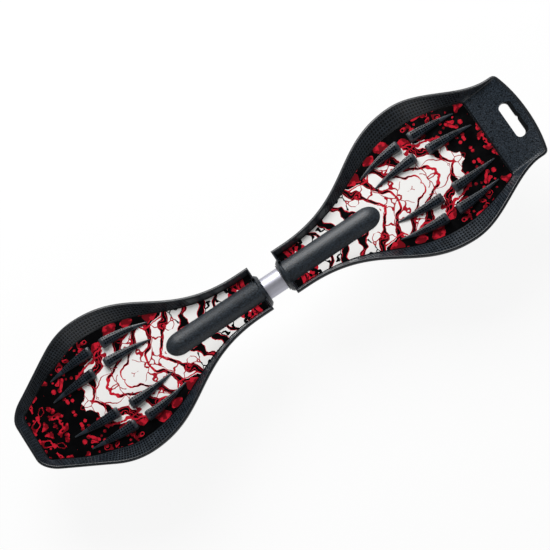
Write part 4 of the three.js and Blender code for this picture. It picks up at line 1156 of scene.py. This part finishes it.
def sleeve_notch():
    """What the rim at the neck's end leaves open, where the sleeve passes over it."""
    half = math.sqrt(SLEEVE_RADIUS ** 2 - (FLOOR - TUBE_AXIS) ** 2)
    near, far = NECK_GAP / 2 - 2, NECK_GAP / 2 + NECK_END_RIM + 2
    outline = [(near, -half), (far, -half), (far, half), (near, half)]
    return slab(outline, FLOOR, FLOOR + 14)


class BuildTrays(bpy.types.Operator):
    """Builds the moulded tray of each deck: floor, pitted wall, rolled lip and skirt"""

    bl_idname = "board.trays"
    bl_label = "Deck trays"

    def execute(self, context):
        sizes = context.scene.board_sizes
        for end in ENDS:
            bm = bmesh.new()
            spans = lofted(bm, tray_rings(deck_form(end), sizes.wall_rows))[1]
            plate_start = REAR_PAN_END + 1 if end == "rear" else math.inf
            pitted = []
            # Wall faces on the tail plate take the grain; the others take the paler ridge finish, a
            # painted highlight, and then get pits in painted shade
            for face in (f for span in spans[1:1 + sizes.wall_rows] for f in span):
                if face.calc_center_median().x > plate_start:
                    face.material_index = GRAIN
                else:
                    face.material_index = LIT_RIDGE
                    pitted.append(face)
            press_pits(bm, pitted, sizes.pit_depth / MM)
            if end == "rear":
                bm = cut_slot(bm)
            bm = drilled(bm, TRAY_BORE, 8, BORE_END[end], "X", 48, (0, 0, TUBE_AXIS))
            bm = combined(bm, sleeve_notch(), "DIFFERENCE")
            add_deck_piece(end, "tray", bm, "shell ridge pit grain", 30, f"{end}_deck")
        return {"FINISHED"}


# Claws and sleeves


def claw(bm, form, place, side, depth):
    """Adds one claw to a bmesh."""
    toward, start, row, toe = place
    body_start = CLAW_END[-1][0]
    body = [(body_start + (1 - body_start) * k / 17, 1) for k in range(1, 18)]
    rings = []
    for share, scale in (*CLAW_END, *body, (1.02, 0.6)):
        taper = 1 - min(share, 1) ** 1.4
        x = form["widest"] + toward * (start + share) * CLAW_LENGTH
        y = row * form["half"] - toe * CLAW_LENGTH * share * share
        half = (CLAW_TIP_WIDTH + (CLAW_WIDTH - CLAW_TIP_WIDTH) * taper) / 2 * scale
        top = (CLAW_TIP_RISE + (CLAW_RISE - CLAW_TIP_RISE) * max(1 - share, 0)) * scale
        rings.append([
            Vector((x, side * (y + across * half), FLOOR + (top * up if up else -SKIN / 2)))
            for across, up in CLAW_SECTION
        ])
    ends, spans = lofted(bm, rings)
    bmesh.ops.recalc_face_normals(bm, faces=ends + [f for span in spans for f in span])
    tops = [
        f for span in spans[len(CLAW_END) - 1:-2] for f in span
        if min(v.co.z for v in f.verts) > FLOOR and f.calc_area() > 4
    ]
    # The claws' tops take the paler ridge finish, a painted highlight, and their pits take painted
    # shade
    for face in tops:
        face.material_index = LIT_RIDGE
    press_pits(bm, [f for f in tops if abs(f.normal.z) > 0.75], depth, least=1.7)


class BuildClaws(bpy.types.Operator):
    """Builds the claws that grip the rider's shoes"""

    bl_idname = "board.claws"
    bl_label = "Claws"

    def execute(self, context):
        depth = context.scene.board_sizes.pit_depth / MM
        for end in ENDS:
            form = deck_form(end)
            bm = bmesh.new()
            for place in CLAW_PLACES:
                for side in (1, -1):
                    claw(bm, form, place, side, depth)
            add_deck_piece(end, "claws", bm, "shell ridge pit", 32)
        return {"FINISHED"}


class BuildSleeves(bpy.types.Operator):
    """Builds the sleeves that hold the torsion tube, each with its collar and round far end"""

    bl_idname = "board.sleeves"
    bl_label = "Torsion sleeves"

    def execute(self, context):
        nose = [(SLEEVE_RADIUS * x, SLEEVE_END + SLEEVE_NOSE * y) for x, y in arc(1, 0, 90, 14)]
        rim = COLLAR_RADIUS - COLLAR_CHAMFER
        for end in ENDS:
            bore, deep = BORE[end], BORE_END[end]
            bm = spun([
                (0, deep), (bore, deep), (bore, SLEEVE_MOUTH + 0.5), (bore + 0.5, SLEEVE_MOUTH),
                (rim - 0.4, SLEEVE_MOUTH), (rim + 0.4, SLEEVE_MOUTH + 0.3),
                (COLLAR_RADIUS - 0.5, SLEEVE_MOUTH + COLLAR_CHAMFER - 0.6),
                (COLLAR_RADIUS, SLEEVE_MOUTH + COLLAR_CHAMFER + 0.6),
                (COLLAR_RADIUS, COLLAR_END - 0.4), (COLLAR_RADIUS - 0.4, COLLAR_END + 0.5),
                (SLEEVE_RADIUS + 0.3, COLLAR_END + 1.8), (SLEEVE_RADIUS, COLLAR_END + 2.6),
                *nose,
            ], "X")
            add_deck_piece(end, "sleeve", moved(bm, z=TUBE_AXIS), "sleeve", 40)
        return {"FINISHED"}


# Undersides


def span_at(loop, fixed, value):
    """Where a loop crosses a line: the least and the greatest of the other coordinate."""
    free = 1 - fixed
    found = []
    for i, q in enumerate(loop):
        p = loop[i - 1]
        if (p[fixed] - value) * (q[fixed] - value) <= 0 and p[fixed] != q[fixed]:
            share = (value - p[fixed]) / (q[fixed] - p[fixed])
            found.append(p[free] + (q[free] - p[free]) * share)
    return min(found), max(found)


def rib(bm, low_corner, high_corner):
    """Adds a rib that narrows a little to its lower edge."""
    made = bmesh.ops.create_cube(bm, size=1)["verts"]
    low, top = Vector(low_corner), Vector(high_corner)
    middle = (top + low) / 2
    bmesh.ops.scale(bm, vec=top - low, verts=made)
    bmesh.ops.translate(bm, vec=middle, verts=made)
    for vert in made:
        if vert.co.z < middle.z:
            vert.co.x += math.copysign(RIB_DRAFT, middle.x - vert.co.x)
            vert.co.y += math.copysign(RIB_DRAFT, middle.y - vert.co.y)


def pedestal_side(end):
    """Side view of the wedge under the floor, whose lower face is square to the pivot."""
    side = 1 if end == "front" else -1
    origin_x, origin_z = pivot_origin(end)
    face = PLATE_TOP + SEAT
    corners = []
    for x in (-PEDESTAL_REACH, PEDESTAL_REACH):
        along = origin_x + x * math.cos(LEAN) + face * math.sin(LEAN)
        corners.append((side * along, origin_z - x * math.sin(LEAN) + face * math.cos(LEAN)))
    behind, ahead = corners
    flare = math.copysign(PEDESTAL_FLARE, ahead[0] - behind[0])
    top = FLOOR - SKIN / 2
    return [behind, ahead, (ahead[0] + flare, top), (behind[0] - flare, top)]


class BuildUndersides(bpy.types.Operator):
    """Builds the ribs, screw bosses and caster pedestals under the decks"""

    bl_idname = "board.undersides"
    bl_label = "Undersides"

    def execute(self, context):
        low, top = FLOOR - SKIN - RIB_DEPTH, FLOOR - SKIN / 2
        beside = SLEEVE_RADIUS - 2  # where a rib meets the sleeve's side
        for end in ENDS:
            form = deck_form(end)
            bm = bmesh.new()
            for x in range(RIB_START, int(form["pan_end"] - RIB_PITCH / 2), RIB_PITCH):
                right, left = span_at(form["pan"], 0, x)
                lengths = [(right, -beside), (beside, left)] if x < SLEEVE_END else [(right, left)]
                for since, until in lengths:
                    rib(bm, (x - RIB_HALF, since, low), (x + RIB_HALF, until, top))
            row = RIB_ROW * form["half"]
            near, far = span_at(form["pan"], 1, row)
            for y in (row, -row):
                rib(bm, (near, y - RIB_HALF, low), (far, y + RIB_HALF, top))
            wedge = slab(pedestal_side(end), -PEDESTAL_HALF, PEDESTAL_HALF, "XZ")
            absorb(bm, soften(wedge, 1.6, segments=3))
            for along in SCREWS_AT[end]:
                boss = bmesh.ops.create_cone(
                    bm, cap_ends=True, segments=32,
                    radius1=BOSS_TIP, radius2=BOSS_ROOT, depth=BOSS_RISE,
                )["verts"]
                bmesh.ops.translate(
                    bm, vec=(along, 0, TUBE_AXIS + BOSS_LOW + BOSS_RISE / 2), verts=boss,
                )
            add_deck_piece(end, "ribs", bm, "shell", 35)
        return {"FINISHED"}


class BuildPrints(bpy.types.Operator):
    """Builds the printed sheets on the foot floors"""

    bl_idname = "board.prints"
    bl_label = "Printed sheets"

    def execute(self, context):
        margin = context.scene.board_sizes.print_margin / MM
        for end in ENDS:
            low = FLOOR + SEAT
            bm = slab(inset(deck_form(end)["pan"], margin), low, low + PRINT_THICKNESS)
            top = max(bm.faces, key=lambda f: f.calc_center_median().z)
            bmesh.ops.inset_individual(bm, faces=[top], thickness=0.3, depth=0)
            add_piece(
                f"{end}_print_sheet", bm, deck_place(end), f"print_{end}", 30,
                f"{end}_deck", "print_film", f"{end}_print",
            )
        return {"FINISHED"}


# Fasteners


def pan_screw(seat, length):
    """A pan head screw with a hexagon socket: head below its seat, shank up along Z."""
    radius, shank, tip = SCREW_HEAD, SCREW_SHANK, seat + length
    dome = [(radius * x ** 0.7, seat - 1.2 - SCREW_DOME * y) for x, y in arc(1, 0, 62, 8)]
    lowest = dome[-1][1]
    bm = spun([
        (0, lowest), *reversed(dome), (radius, seat - 0.2), (radius - 0.2, seat), (shank, seat),
        (shank, tip - 0.8), (shank - 0.7, tip), (0, tip),
    ], turns=40)
    return combined(bm, prism(SCREW_SOCKET, lowest - 6.2, lowest + 1.8), "DIFFERENCE")


def prism(radius, low, top):
    """A plain six sided prism."""
    bm = bmesh.new()
    bmesh.ops.create_cone(
        bm, cap_ends=True, segments=6, radius1=radius, radius2=radius, depth=top - low,
    )
    return moved(bm, z=(low + top) / 2)


def hexagon(radius, low, top):
    """A hexagon head or nut whose corners are chamfered."""
    bm = prism(radius, low, top)
    bmesh.ops.rotate(bm, matrix=Matrix.Rotation(math.radians(30), 3, "Z"), verts=bm.verts)
    across = radius * math.cos(math.pi / 6)
    drop = (radius - across) * 0.6
    lens = spun([
        (0, low), (across - 0.2, low), (radius + 0.2, low + drop), (radius + 0.2, top - drop),
        (across - 0.2, top), (0, top),
    ], turns=48)
    return combined(bm, lens, "INTERSECT")


def threaded(radius, low, top):
    """A bolt's end with the ridges of its thread, as rings."""
    profile = [(0, low), (radius - 0.9, low)]
    z = low + 0.5
    while z < top - THREAD_PITCH:
        profile += [(radius, z), (radius - THREAD_DEPTH, z + THREAD_PITCH / 2)]
        z += THREAD_PITCH
    profile += [(radius, top), (0, top)]
    return spun(profile, turns=32)


class BuildTorsion(bpy.types.Operator):
    """Builds the torsion tube, the bush at its mouth and the screws that hold the unit"""

    bl_idname = "board.torsion"
    bl_label = "Torsion unit"

    def execute(self, context):
        place = torsion_place()
        inner = TUBE_RADIUS - TUBE_WALL
        section = ring_section(inner, TUBE_RADIUS, -TUBE_HALF, TUBE_HALF, 0.4)
        tube = spun(section, "X", closed=True)
        add_piece(
            "torsion_tube_satin", tube, place, "tube", 30,
            "front_deck", "tube_aluminium", "torsion_tube",
        )
        face = -SLEEVE_MOUTH + SEAT
        bush = spun([
            (BUSH_INNER, face + 1.4), (BUSH_FLANGE - 0.5, face + 1.4), (BUSH_FLANGE, face + 0.9),
            (BUSH_FLANGE, face), (BUSH_OUTER, face), (BUSH_OUTER, face - BUSH_LENGTH),
            (BUSH_INNER, face - BUSH_LENGTH),
        ], "X", closed=True)
        add_piece("mouth_bush_moulded", bush, place, "bush", 30, "rear_deck", "nylon", "mouth_bush")
        tube_at, socket_at = SCREWS_AT["front"]
        to_bar = -BAR_HALF - SEAT
        for name, body, along, tip in (
            ("front_tube_screw", "front_deck", tube_at, -inner),
            ("front_socket_screw", "front_deck", socket_at, to_bar),
            ("rear_socket_screw", "rear_deck", -SCREWS_AT["rear"][0], to_bar),
        ):
            bm = moved(pan_screw(SCREW_SEAT, tip - SCREW_SEAT), along)
            add_fastener(f"{name}_turned", bm, place, body, name)
        return {"FINISHED"}


# Casters


def fork_channel():
    """Section of the fork's bent steel, as seen along its length."""
    down, wide, tight = -FORK_EYE - 2, 7, 3
    top, low = CROWN_TOP - wide, CROWN_LOW - tight
    out, within = ARM_OUTER - wide, ARM_INNER - tight
    return [
        (-ARM_OUTER, down), *arc(wide, 180, 90, 10, (-out, top)),
        *arc(wide, 90, 0, 10, (out, top)), (ARM_OUTER, down),
        (ARM_INNER, down), *arc(tight, 0, 90, 8, (within, low)),
        *arc(tight, 90, 180, 8, (-within, low)), (-ARM_INNER, down),
    ]


def fork_side():
    """Side view that the fork's channel is trimmed to."""
    eye, front, back = FORK_EYE, 20, -25
    throat = eye * 1.3 - TRAIL
    chin, heel, hip = (share * CROWN_LOW for share in (0.55, 0.4, 0.6))
    lead = [at(front, CROWN_LOW - 3), at(front * 0.7, chin), at(throat, eye), at(eye - TRAIL, 0)]
    trail = [at(-TRAIL - eye, 0), at(-TRAIL - eye, heel), at(back, hip), at(back, CROWN_LOW)]
    return [
        at(front, CROWN_TOP + 2), *curve(lead, 24),
        *arc(eye, 0, -180, 32, (-TRAIL, 0))[1:],
        *curve(trail, 16, since=1), at(back, CROWN_TOP + 2),
    ]


class BuildForks(bpy.types.Operator):
    """Builds the bent steel forks"""

    bl_idname = "board.forks"
    bl_label = "Forks"

    def execute(self, context):
        along, across, past = 75, 22, 30  # beyond the fork's own size each way
        for end in ENDS:
            bent = slab(fork_channel(), -along, along, "YZ")
            bm = combined(bent, slab(fork_side(), -across, across, "XZ"), "INTERSECT")
            bm = drilled(bm, BORE_RADIUS, -past, past, "Y", centre=(-TRAIL, 0, 0))
            bm = drilled(bm, PIVOT_BORE, CROWN_LOW - 4, CROWN_TOP + 4)
            soften(bm, 0.5, angle=50)
            add_piece(
                f"{end}_fork_pressed", bm, caster_place(end), "steel", 35,
                f"{end}_fork", "steel", f"{end}_fork",
            )
        return {"FINISHED"}


def rounded_rectangle(x, y, corner, steps=8):
    """Outline of a plate with rounded corners, from half its length and half its width."""
    points = []
    for k, (sx, sy) in enumerate(((1, 1), (-1, 1), (-1, -1), (1, -1))):
        centre = (sx * (x - corner), sy * (y - corner))
        points += arc(corner, 90 * k, 90 * k + 90, steps, centre)
    return points


def race(radius, low, top):
    """A ball race with a groove round its middle."""
    groove, below, above = radius - 1.2, (low + top) / 2 - 0.6, (low + top) / 2 + 0.6
    between = [(radius, below), (groove, below), (groove, above), (radius, above)]
    return spun(ring_section(PIVOT_BORE, radius, low, top, 0.5, between), closed=True)


class BuildPivots(bpy.types.Operator):
    """Builds the leaning plates, ball races, pivot bolts and their screws"""

    bl_idname = "board.pivots"
    bl_label = "Caster pivots"

    def execute(self, context):
        for end in ENDS:
            place, body = caster_place(end), f"{end}_deck"
            outline = rounded_rectangle(*PLATE_HALF, PLATE_CORNER)
            plate = soften(slab(outline, PLATE_LOW, PLATE_TOP), 0.6)
            name = f"{end}_caster_plate"
            add_piece(f"{end}_plate_pressed", plate, place, "steel", 35, body, "steel", name)
            for k, (x, y) in enumerate(PLATE_SCREWS):
                name = f"{end}_plate_screw_{k + 1}"
                bm = moved(pan_screw(PLATE_LOW - SEAT, PLATE_SCREW_LENGTH), x, y)
                add_fastener(f"{name}_turned", bm, place, body, name)
            for kind, radius, low, top in (
                ("upper_race", UPPER_RACE_RADIUS, CROWN_TOP + SEAT, PLATE_LOW - SEAT),
                ("lower_race", LOWER_RACE_RADIUS, LOWER_RACE, CROWN_LOW - SEAT),
            ):
                name = f"{end}_{kind}"
                bm = race(radius, low, top)
                add_piece(f"{name}_ground", bm, place, "ring", 30, body, "steel", name)
            head, nut_top = PLATE_TOP + SEAT, LOWER_RACE - SEAT
            bolt = hexagon(KINGPIN_HEX, head, head + KINGPIN_HEAD)
            absorb(bolt, threaded(KINGPIN_RADIUS, nut_top - 8, head + 2.1))
            name = f"{end}_kingpin"
            add_fastener(f"{name}_bolt", bolt, place, body, name)
            nut = hexagon(KINGPIN_HEX, nut_top - KINGPIN_HEAD, nut_top)
            nut = drilled(nut, PIVOT_BORE, 30, 42)
            add_fastener(f"{name}_locknut", nut, place, body, f"{name}_nut")
        return {"FINISHED"}


def tyre_form():
    """The tyre: a flat tread, round shoulders and a bevelled seat on the hub."""
    half, flat, shoulder = TYRE_WIDTH / 2, 5.5, TYRE_WIDTH / 2 - 5.5
    seat = HUB_RADIUS + SEAT
    side = [
        (WHEEL_RADIUS, 0), (WHEEL_RADIUS, flat / 2),
        *arc(shoulder, 0, 90, 10, (WHEEL_RADIUS - shoulder, flat)),
        (seat + 2.6, half), (seat + 2, half - 0.15), (seat, half - 2.2),
    ]
    return spun(side + [(r, -y) for r, y in reversed(side[1:])], "Y", closed=True, turns=96)


def hub_form():
    """The hub with its rim, web, windows and bearing boss."""
    bore, half, land, web = BEARING_RADIUS + SEAT, TYRE_WIDTH / 2, 4.2, HUB_WEB / 2
    side = [
        (bore - 2, land), (bore, land), (bore, half - 0.4), (bore + 0.4, half),
        (HUB_BOSS - 0.5, half), (HUB_BOSS, half - 0.5), (HUB_BOSS + 0.3, web + 1),
        (HUB_BOSS + 1.2, web), (HUB_RIM - 1, web), (HUB_RIM, web + 1),
        (HUB_RIM, half - 2.7), (HUB_RIM + 0.5, half - 2.2), (HUB_RADIUS, half - 2.2),
    ]
    bm = spun(side + [(r, -y) for r, y in reversed(side)], "Y", closed=True, turns=90)
    sweep = 180 * 0.62 / HUB_WINDOWS
    for turn in range(0, 360, 360 // HUB_WINDOWS):
        outline = arc(HUB_RIM - 0.3, turn - sweep, turn + sweep, 12)
        outline += arc(HUB_BOSS + 0.3, turn + sweep, turn - sweep, 8)
        bm = combined(bm, slab(outline, -HUB_WEB, HUB_WEB, "XZ"), "DIFFERENCE")
    return bm


def bearing_form(sign):
    """A sealed ball bearing: two ground rings with a rubber shield sunk between them."""
    near, far = BEARING_FACE - BEARING_WIDTH, BEARING_FACE
    inner, outer = SHIELD_INNER, SHIELD_OUTER
    profile = [
        (BORE_RADIUS, near), (BEARING_RADIUS, near), (BEARING_RADIUS, far - 0.4),
        (BEARING_RADIUS - 0.4, far), (outer + 0.2, far), (outer, far - 0.5), (inner, far - 0.5),
        (inner - 0.1, far), (BORE_RADIUS + 0.3, far), (BORE_RADIUS, far - 0.3),
    ]
    bm = spun([(r, sign * y) for r, y in profile], "Y", closed=True)
    for face in bm.faces:
        centre = face.calc_center_median()
        on_shield = inner < math.hypot(centre.x, centre.z) < outer + 0.05
        if on_shield and abs(centre.y) > near + 1:
            face.material_index = SHIELD
    return bm


class BuildWheels(bpy.types.Operator):
    """Builds the tyres, hubs and bearings"""

    bl_idname = "board.wheels"
    bl_label = "Wheels"

    def execute(self, context):
        for end in ENDS:
            place, body = wheel_place(end), f"{end}_wheel"
            name = f"{end}_tyre"
            add_piece(f"{name}_cast", tyre_form(), place, "tyre", 35, body, "tyre", name)
            name = f"{end}_wheel_hub"
            add_piece(f"{end}_hub_moulded", hub_form(), place, "hub", 35, body, "hub", name)
            for side, sign in SIDES:
                name, bm = f"{end}_{side}_bearing", bearing_form(sign)
                add_piece(f"{name}_sealed", bm, place, "ring shield", 30, body, "steel", name)
        return {"FINISHED"}


class BuildAxles(bpy.types.Operator):
    """Builds the axle bolts, their nuts and the washers beside the bearings"""

    bl_idname = "board.axles"
    bl_label = "Axles"

    def execute(self, context):
        seat = ARM_OUTER + SEAT
        near, far = BEARING_FACE + SEAT, ARM_INNER - SEAT
        bore = BORE_RADIUS
        for end in ENDS:
            place, body = wheel_place(end), f"{end}_fork"
            bolt = hexagon(AXLE_HEX, seat, seat + AXLE_HEAD)
            absorb(bolt, threaded(AXLE_RADIUS, -seat - 7, seat + AXLE_HEAD / 2))
            nut = drilled(hexagon(AXLE_HEX, -seat - AXLE_HEAD, -seat), bore, -30, 0)
            name = f"{end}_axle"
            add_fastener(f"{name}_bolt_plated", turned_to_y(bolt), place, body, f"{name}_bolt")
            add_fastener(f"{name}_locknut", turned_to_y(nut), place, body, f"{name}_nut")
            for side, sign in SIDES:
                section = ring_section(bore, WASHER_RADIUS, near, far, 0.2)
                bm = spun([(r, sign * y) for r, y in section], "Y", closed=True, turns=40)
                name = f"{end}_{side}_washer"
                add_fastener(f"{name}_plated", bm, place, body, name, angle=30)
        return {"FINISHED"}


class DressHidden(bpy.types.Operator):
    """Gives the pieces that stay as they are in the frame their finishes"""

    bl_idname = "board.hidden"
    bl_label = "Hidden pieces"

    def execute(self, context):
        kinds = {
            "torsion_bar": "spring", "front_bar_socket": "steel", "rear_bar_socket": "steel",
            "inner_bush": "bush", "front_bearing_spacer": "zinc", "rear_bearing_spacer": "zinc",
        }
        for name, kind in kinds.items():
            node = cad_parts[name]
            if not node.material_slots:
                node.data.materials.append(use(kind))
            for slot in node.material_slots:
                slot.material = use(kind)
        return {"FINISHED"}


# Stage


def lamp(name, power, size, place):
    """A soft lamp that faces the board."""
    data = bpy.data.lights.new(name, "AREA")
    data.energy = power
    data.size = size
    made = bpy.data.objects.new(name, data)
    made.location = place
    made.rotation_euler = (Vector(AIM) - Vector(place)).to_track_quat("-Z", "Y").to_euler()
    bpy.context.scene.collection.objects.link(made)


class BuildStage(bpy.types.Operator):
    """Builds the pale floor, the soft lamps, the world and the camera"""

    bl_idname = "board.stage"
    bl_label = "Stage"

    def execute(self, context):
        settings = context.scene.board_stage
        self.floor(tuple(settings.floor))
        self.world(settings.sky)
        for name, size, place in LAMPS:
            lamp(name, getattr(settings, name), size, place)
        self.camera(context, settings)
        return {"FINISHED"}

    def floor(self, colour):
        """A plain pale floor that shows as white paper and keeps the board's shadow."""
        bm = bmesh.new()
        bmesh.ops.create_grid(bm, x_segments=1, y_segments=1, size=FLOOR_REACH)
        mesh = bpy.data.meshes.new("floor")
        bm.to_mesh(mesh)
        bm.free()
        # White paper sweep: matt, with no edge or grain in view
        material, tree = new_tree("White paper sweep")
        matt = add(tree, "BsdfDiffuse", {"Color": (*colour, 1)})
        glow = add(tree, "Emission", {"Color": (1, 1, 1, 1), "Strength": 1})
        path = add(tree, "LightPath")
        seen = add(tree, "Math", {
            0: path.outputs["Is Camera Ray"], 1: path.outputs["Is Glossy Ray"],
        }, operation="MAXIMUM")
        through = add(tree, "Math", {
            0: seen, 1: path.outputs["Is Transmission Ray"],
        }, operation="MAXIMUM")
        share = add(tree, "Math", {0: through, 1: FLOOR_GLOW}, operation="MULTIPLY")
        both = add(tree, "MixShader", {0: share, 1: matt, 2: glow})
        add(tree, "OutputMaterial", {"Surface": both})
        mesh.materials.append(material)
        floor = bpy.data.objects.new("floor", mesh)
        bpy.context.scene.collection.objects.link(floor)

    def world(self, level):
        """Soft light all round, dim overhead as in a dark studio. It shows as white."""
        world = bpy.data.worlds.new("studio")
        world.use_nodes = True
        tree = world.node_tree
        tree.nodes.clear()
        path = add(tree, "LightPath")
        around = add(tree, "TexCoord").outputs["Generated"]
        way = add(tree, "SeparateXYZ", {0: around})
        dimmed = add(tree, "MapRange", {
            "Value": way.outputs[2], "From Min": SKY_DIMS[0], "From Max": SKY_DIMS[1],
            "To Min": level, "To Max": level * SKY_OVERHEAD,
        }, interpolation_type="SMOOTHSTEP")
        strength = add(tree, "MapRange", {
            "Value": path.outputs["Is Camera Ray"], "To Min": dimmed, "To Max": 1,
        })
        sky = add(tree, "Background", {"Color": (1, 1, 1, 1), "Strength": strength})
        add(tree, "OutputWorld", {"Surface": sky})
        bpy.context.scene.world = world

    def camera(self, context, settings):
        """The photograph's view: almost from above, with the board across one diagonal."""
        beside, above = VIEW_FROM
        toward = Vector((0, beside, above)).normalized()
        level, along = Vector((0, above, -beside)).normalized(), Vector((1, 0, 0))
        right = -math.cos(VIEW_TURN) * along + math.sin(VIEW_TURN) * level
        up = -math.sin(VIEW_TURN) * along - math.cos(VIEW_TURN) * level
        shift = VIEW_SHIFT[1] * up - VIEW_SHIFT[0] * right
        centre = Vector((0, 0, VIEW_LEVEL)) + shift * (settings.width / PIXELS)
        data = bpy.data.cameras.new("camera")
        data.sensor_width = 36
        data.lens = data.sensor_width * settings.distance / settings.width
        data.clip_end = 20
        made = bpy.data.objects.new("camera", data)
        made.location = centre + toward * settings.distance
        made.rotation_euler = Matrix((right, up, toward)).transposed().to_euler()
        context.scene.collection.objects.link(made)
        context.scene.camera = made
        context.scene.view_settings.view_transform = "Standard"


OPERATORS = (
    BuildStage, BuildTrays, BuildClaws, BuildSleeves, BuildUndersides, BuildPrints,
    BuildTorsion, BuildForks, BuildPivots, BuildWheels, BuildAxles, DressHidden,
)


class BoardPanel(bpy.types.Panel):
    """Lists the steps that build the board."""

    bl_idname = "VIEW3D_PT_caster_board"
    bl_label = "Caster Board"
    bl_space_type = "VIEW_3D"
    bl_region_type = "UI"
    bl_category = "Caster Board"

    def draw(self, context):
        for group in ("board_sizes", "board_colours", "board_stage"):
            settings = getattr(context.scene, group)
            box = self.layout.box()
            for name in settings.__annotations__:
                box.prop(settings, name)
        for operator in OPERATORS:
            self.layout.operator(operator.bl_idname)


GROUPS = {"board_sizes": BoardSizes, "board_colours": BoardColours, "board_stage": StageSettings}


def register():
    """Registers the classes and the settings."""
    for cls in (*GROUPS.values(), *OPERATORS, BoardPanel):
        bpy.utils.register_class(cls)
    for name, cls in GROUPS.items():
        setattr(bpy.types.Scene, name, PointerProperty(type=cls))


def unregister():
    """Undoes register."""
    for name in GROUPS:
        delattr(bpy.types.Scene, name)
    for cls in reversed((*GROUPS.values(), *OPERATORS, BoardPanel)):
        bpy.utils.unregister_class(cls)


def main():
    """Builds everything."""
    register()
    bpy.ops.board.stage()
    bpy.ops.board.trays()
    bpy.ops.board.claws()
    bpy.ops.board.sleeves()
    bpy.ops.board.undersides()
    bpy.ops.board.prints()
    bpy.ops.board.torsion()
    bpy.ops.board.forks()
    bpy.ops.board.pivots()
    bpy.ops.board.wheels()
    bpy.ops.board.axles()
    bpy.ops.board.hidden()
    bpy.context.view_layer.update()


if __name__ == "__main__":
    main()
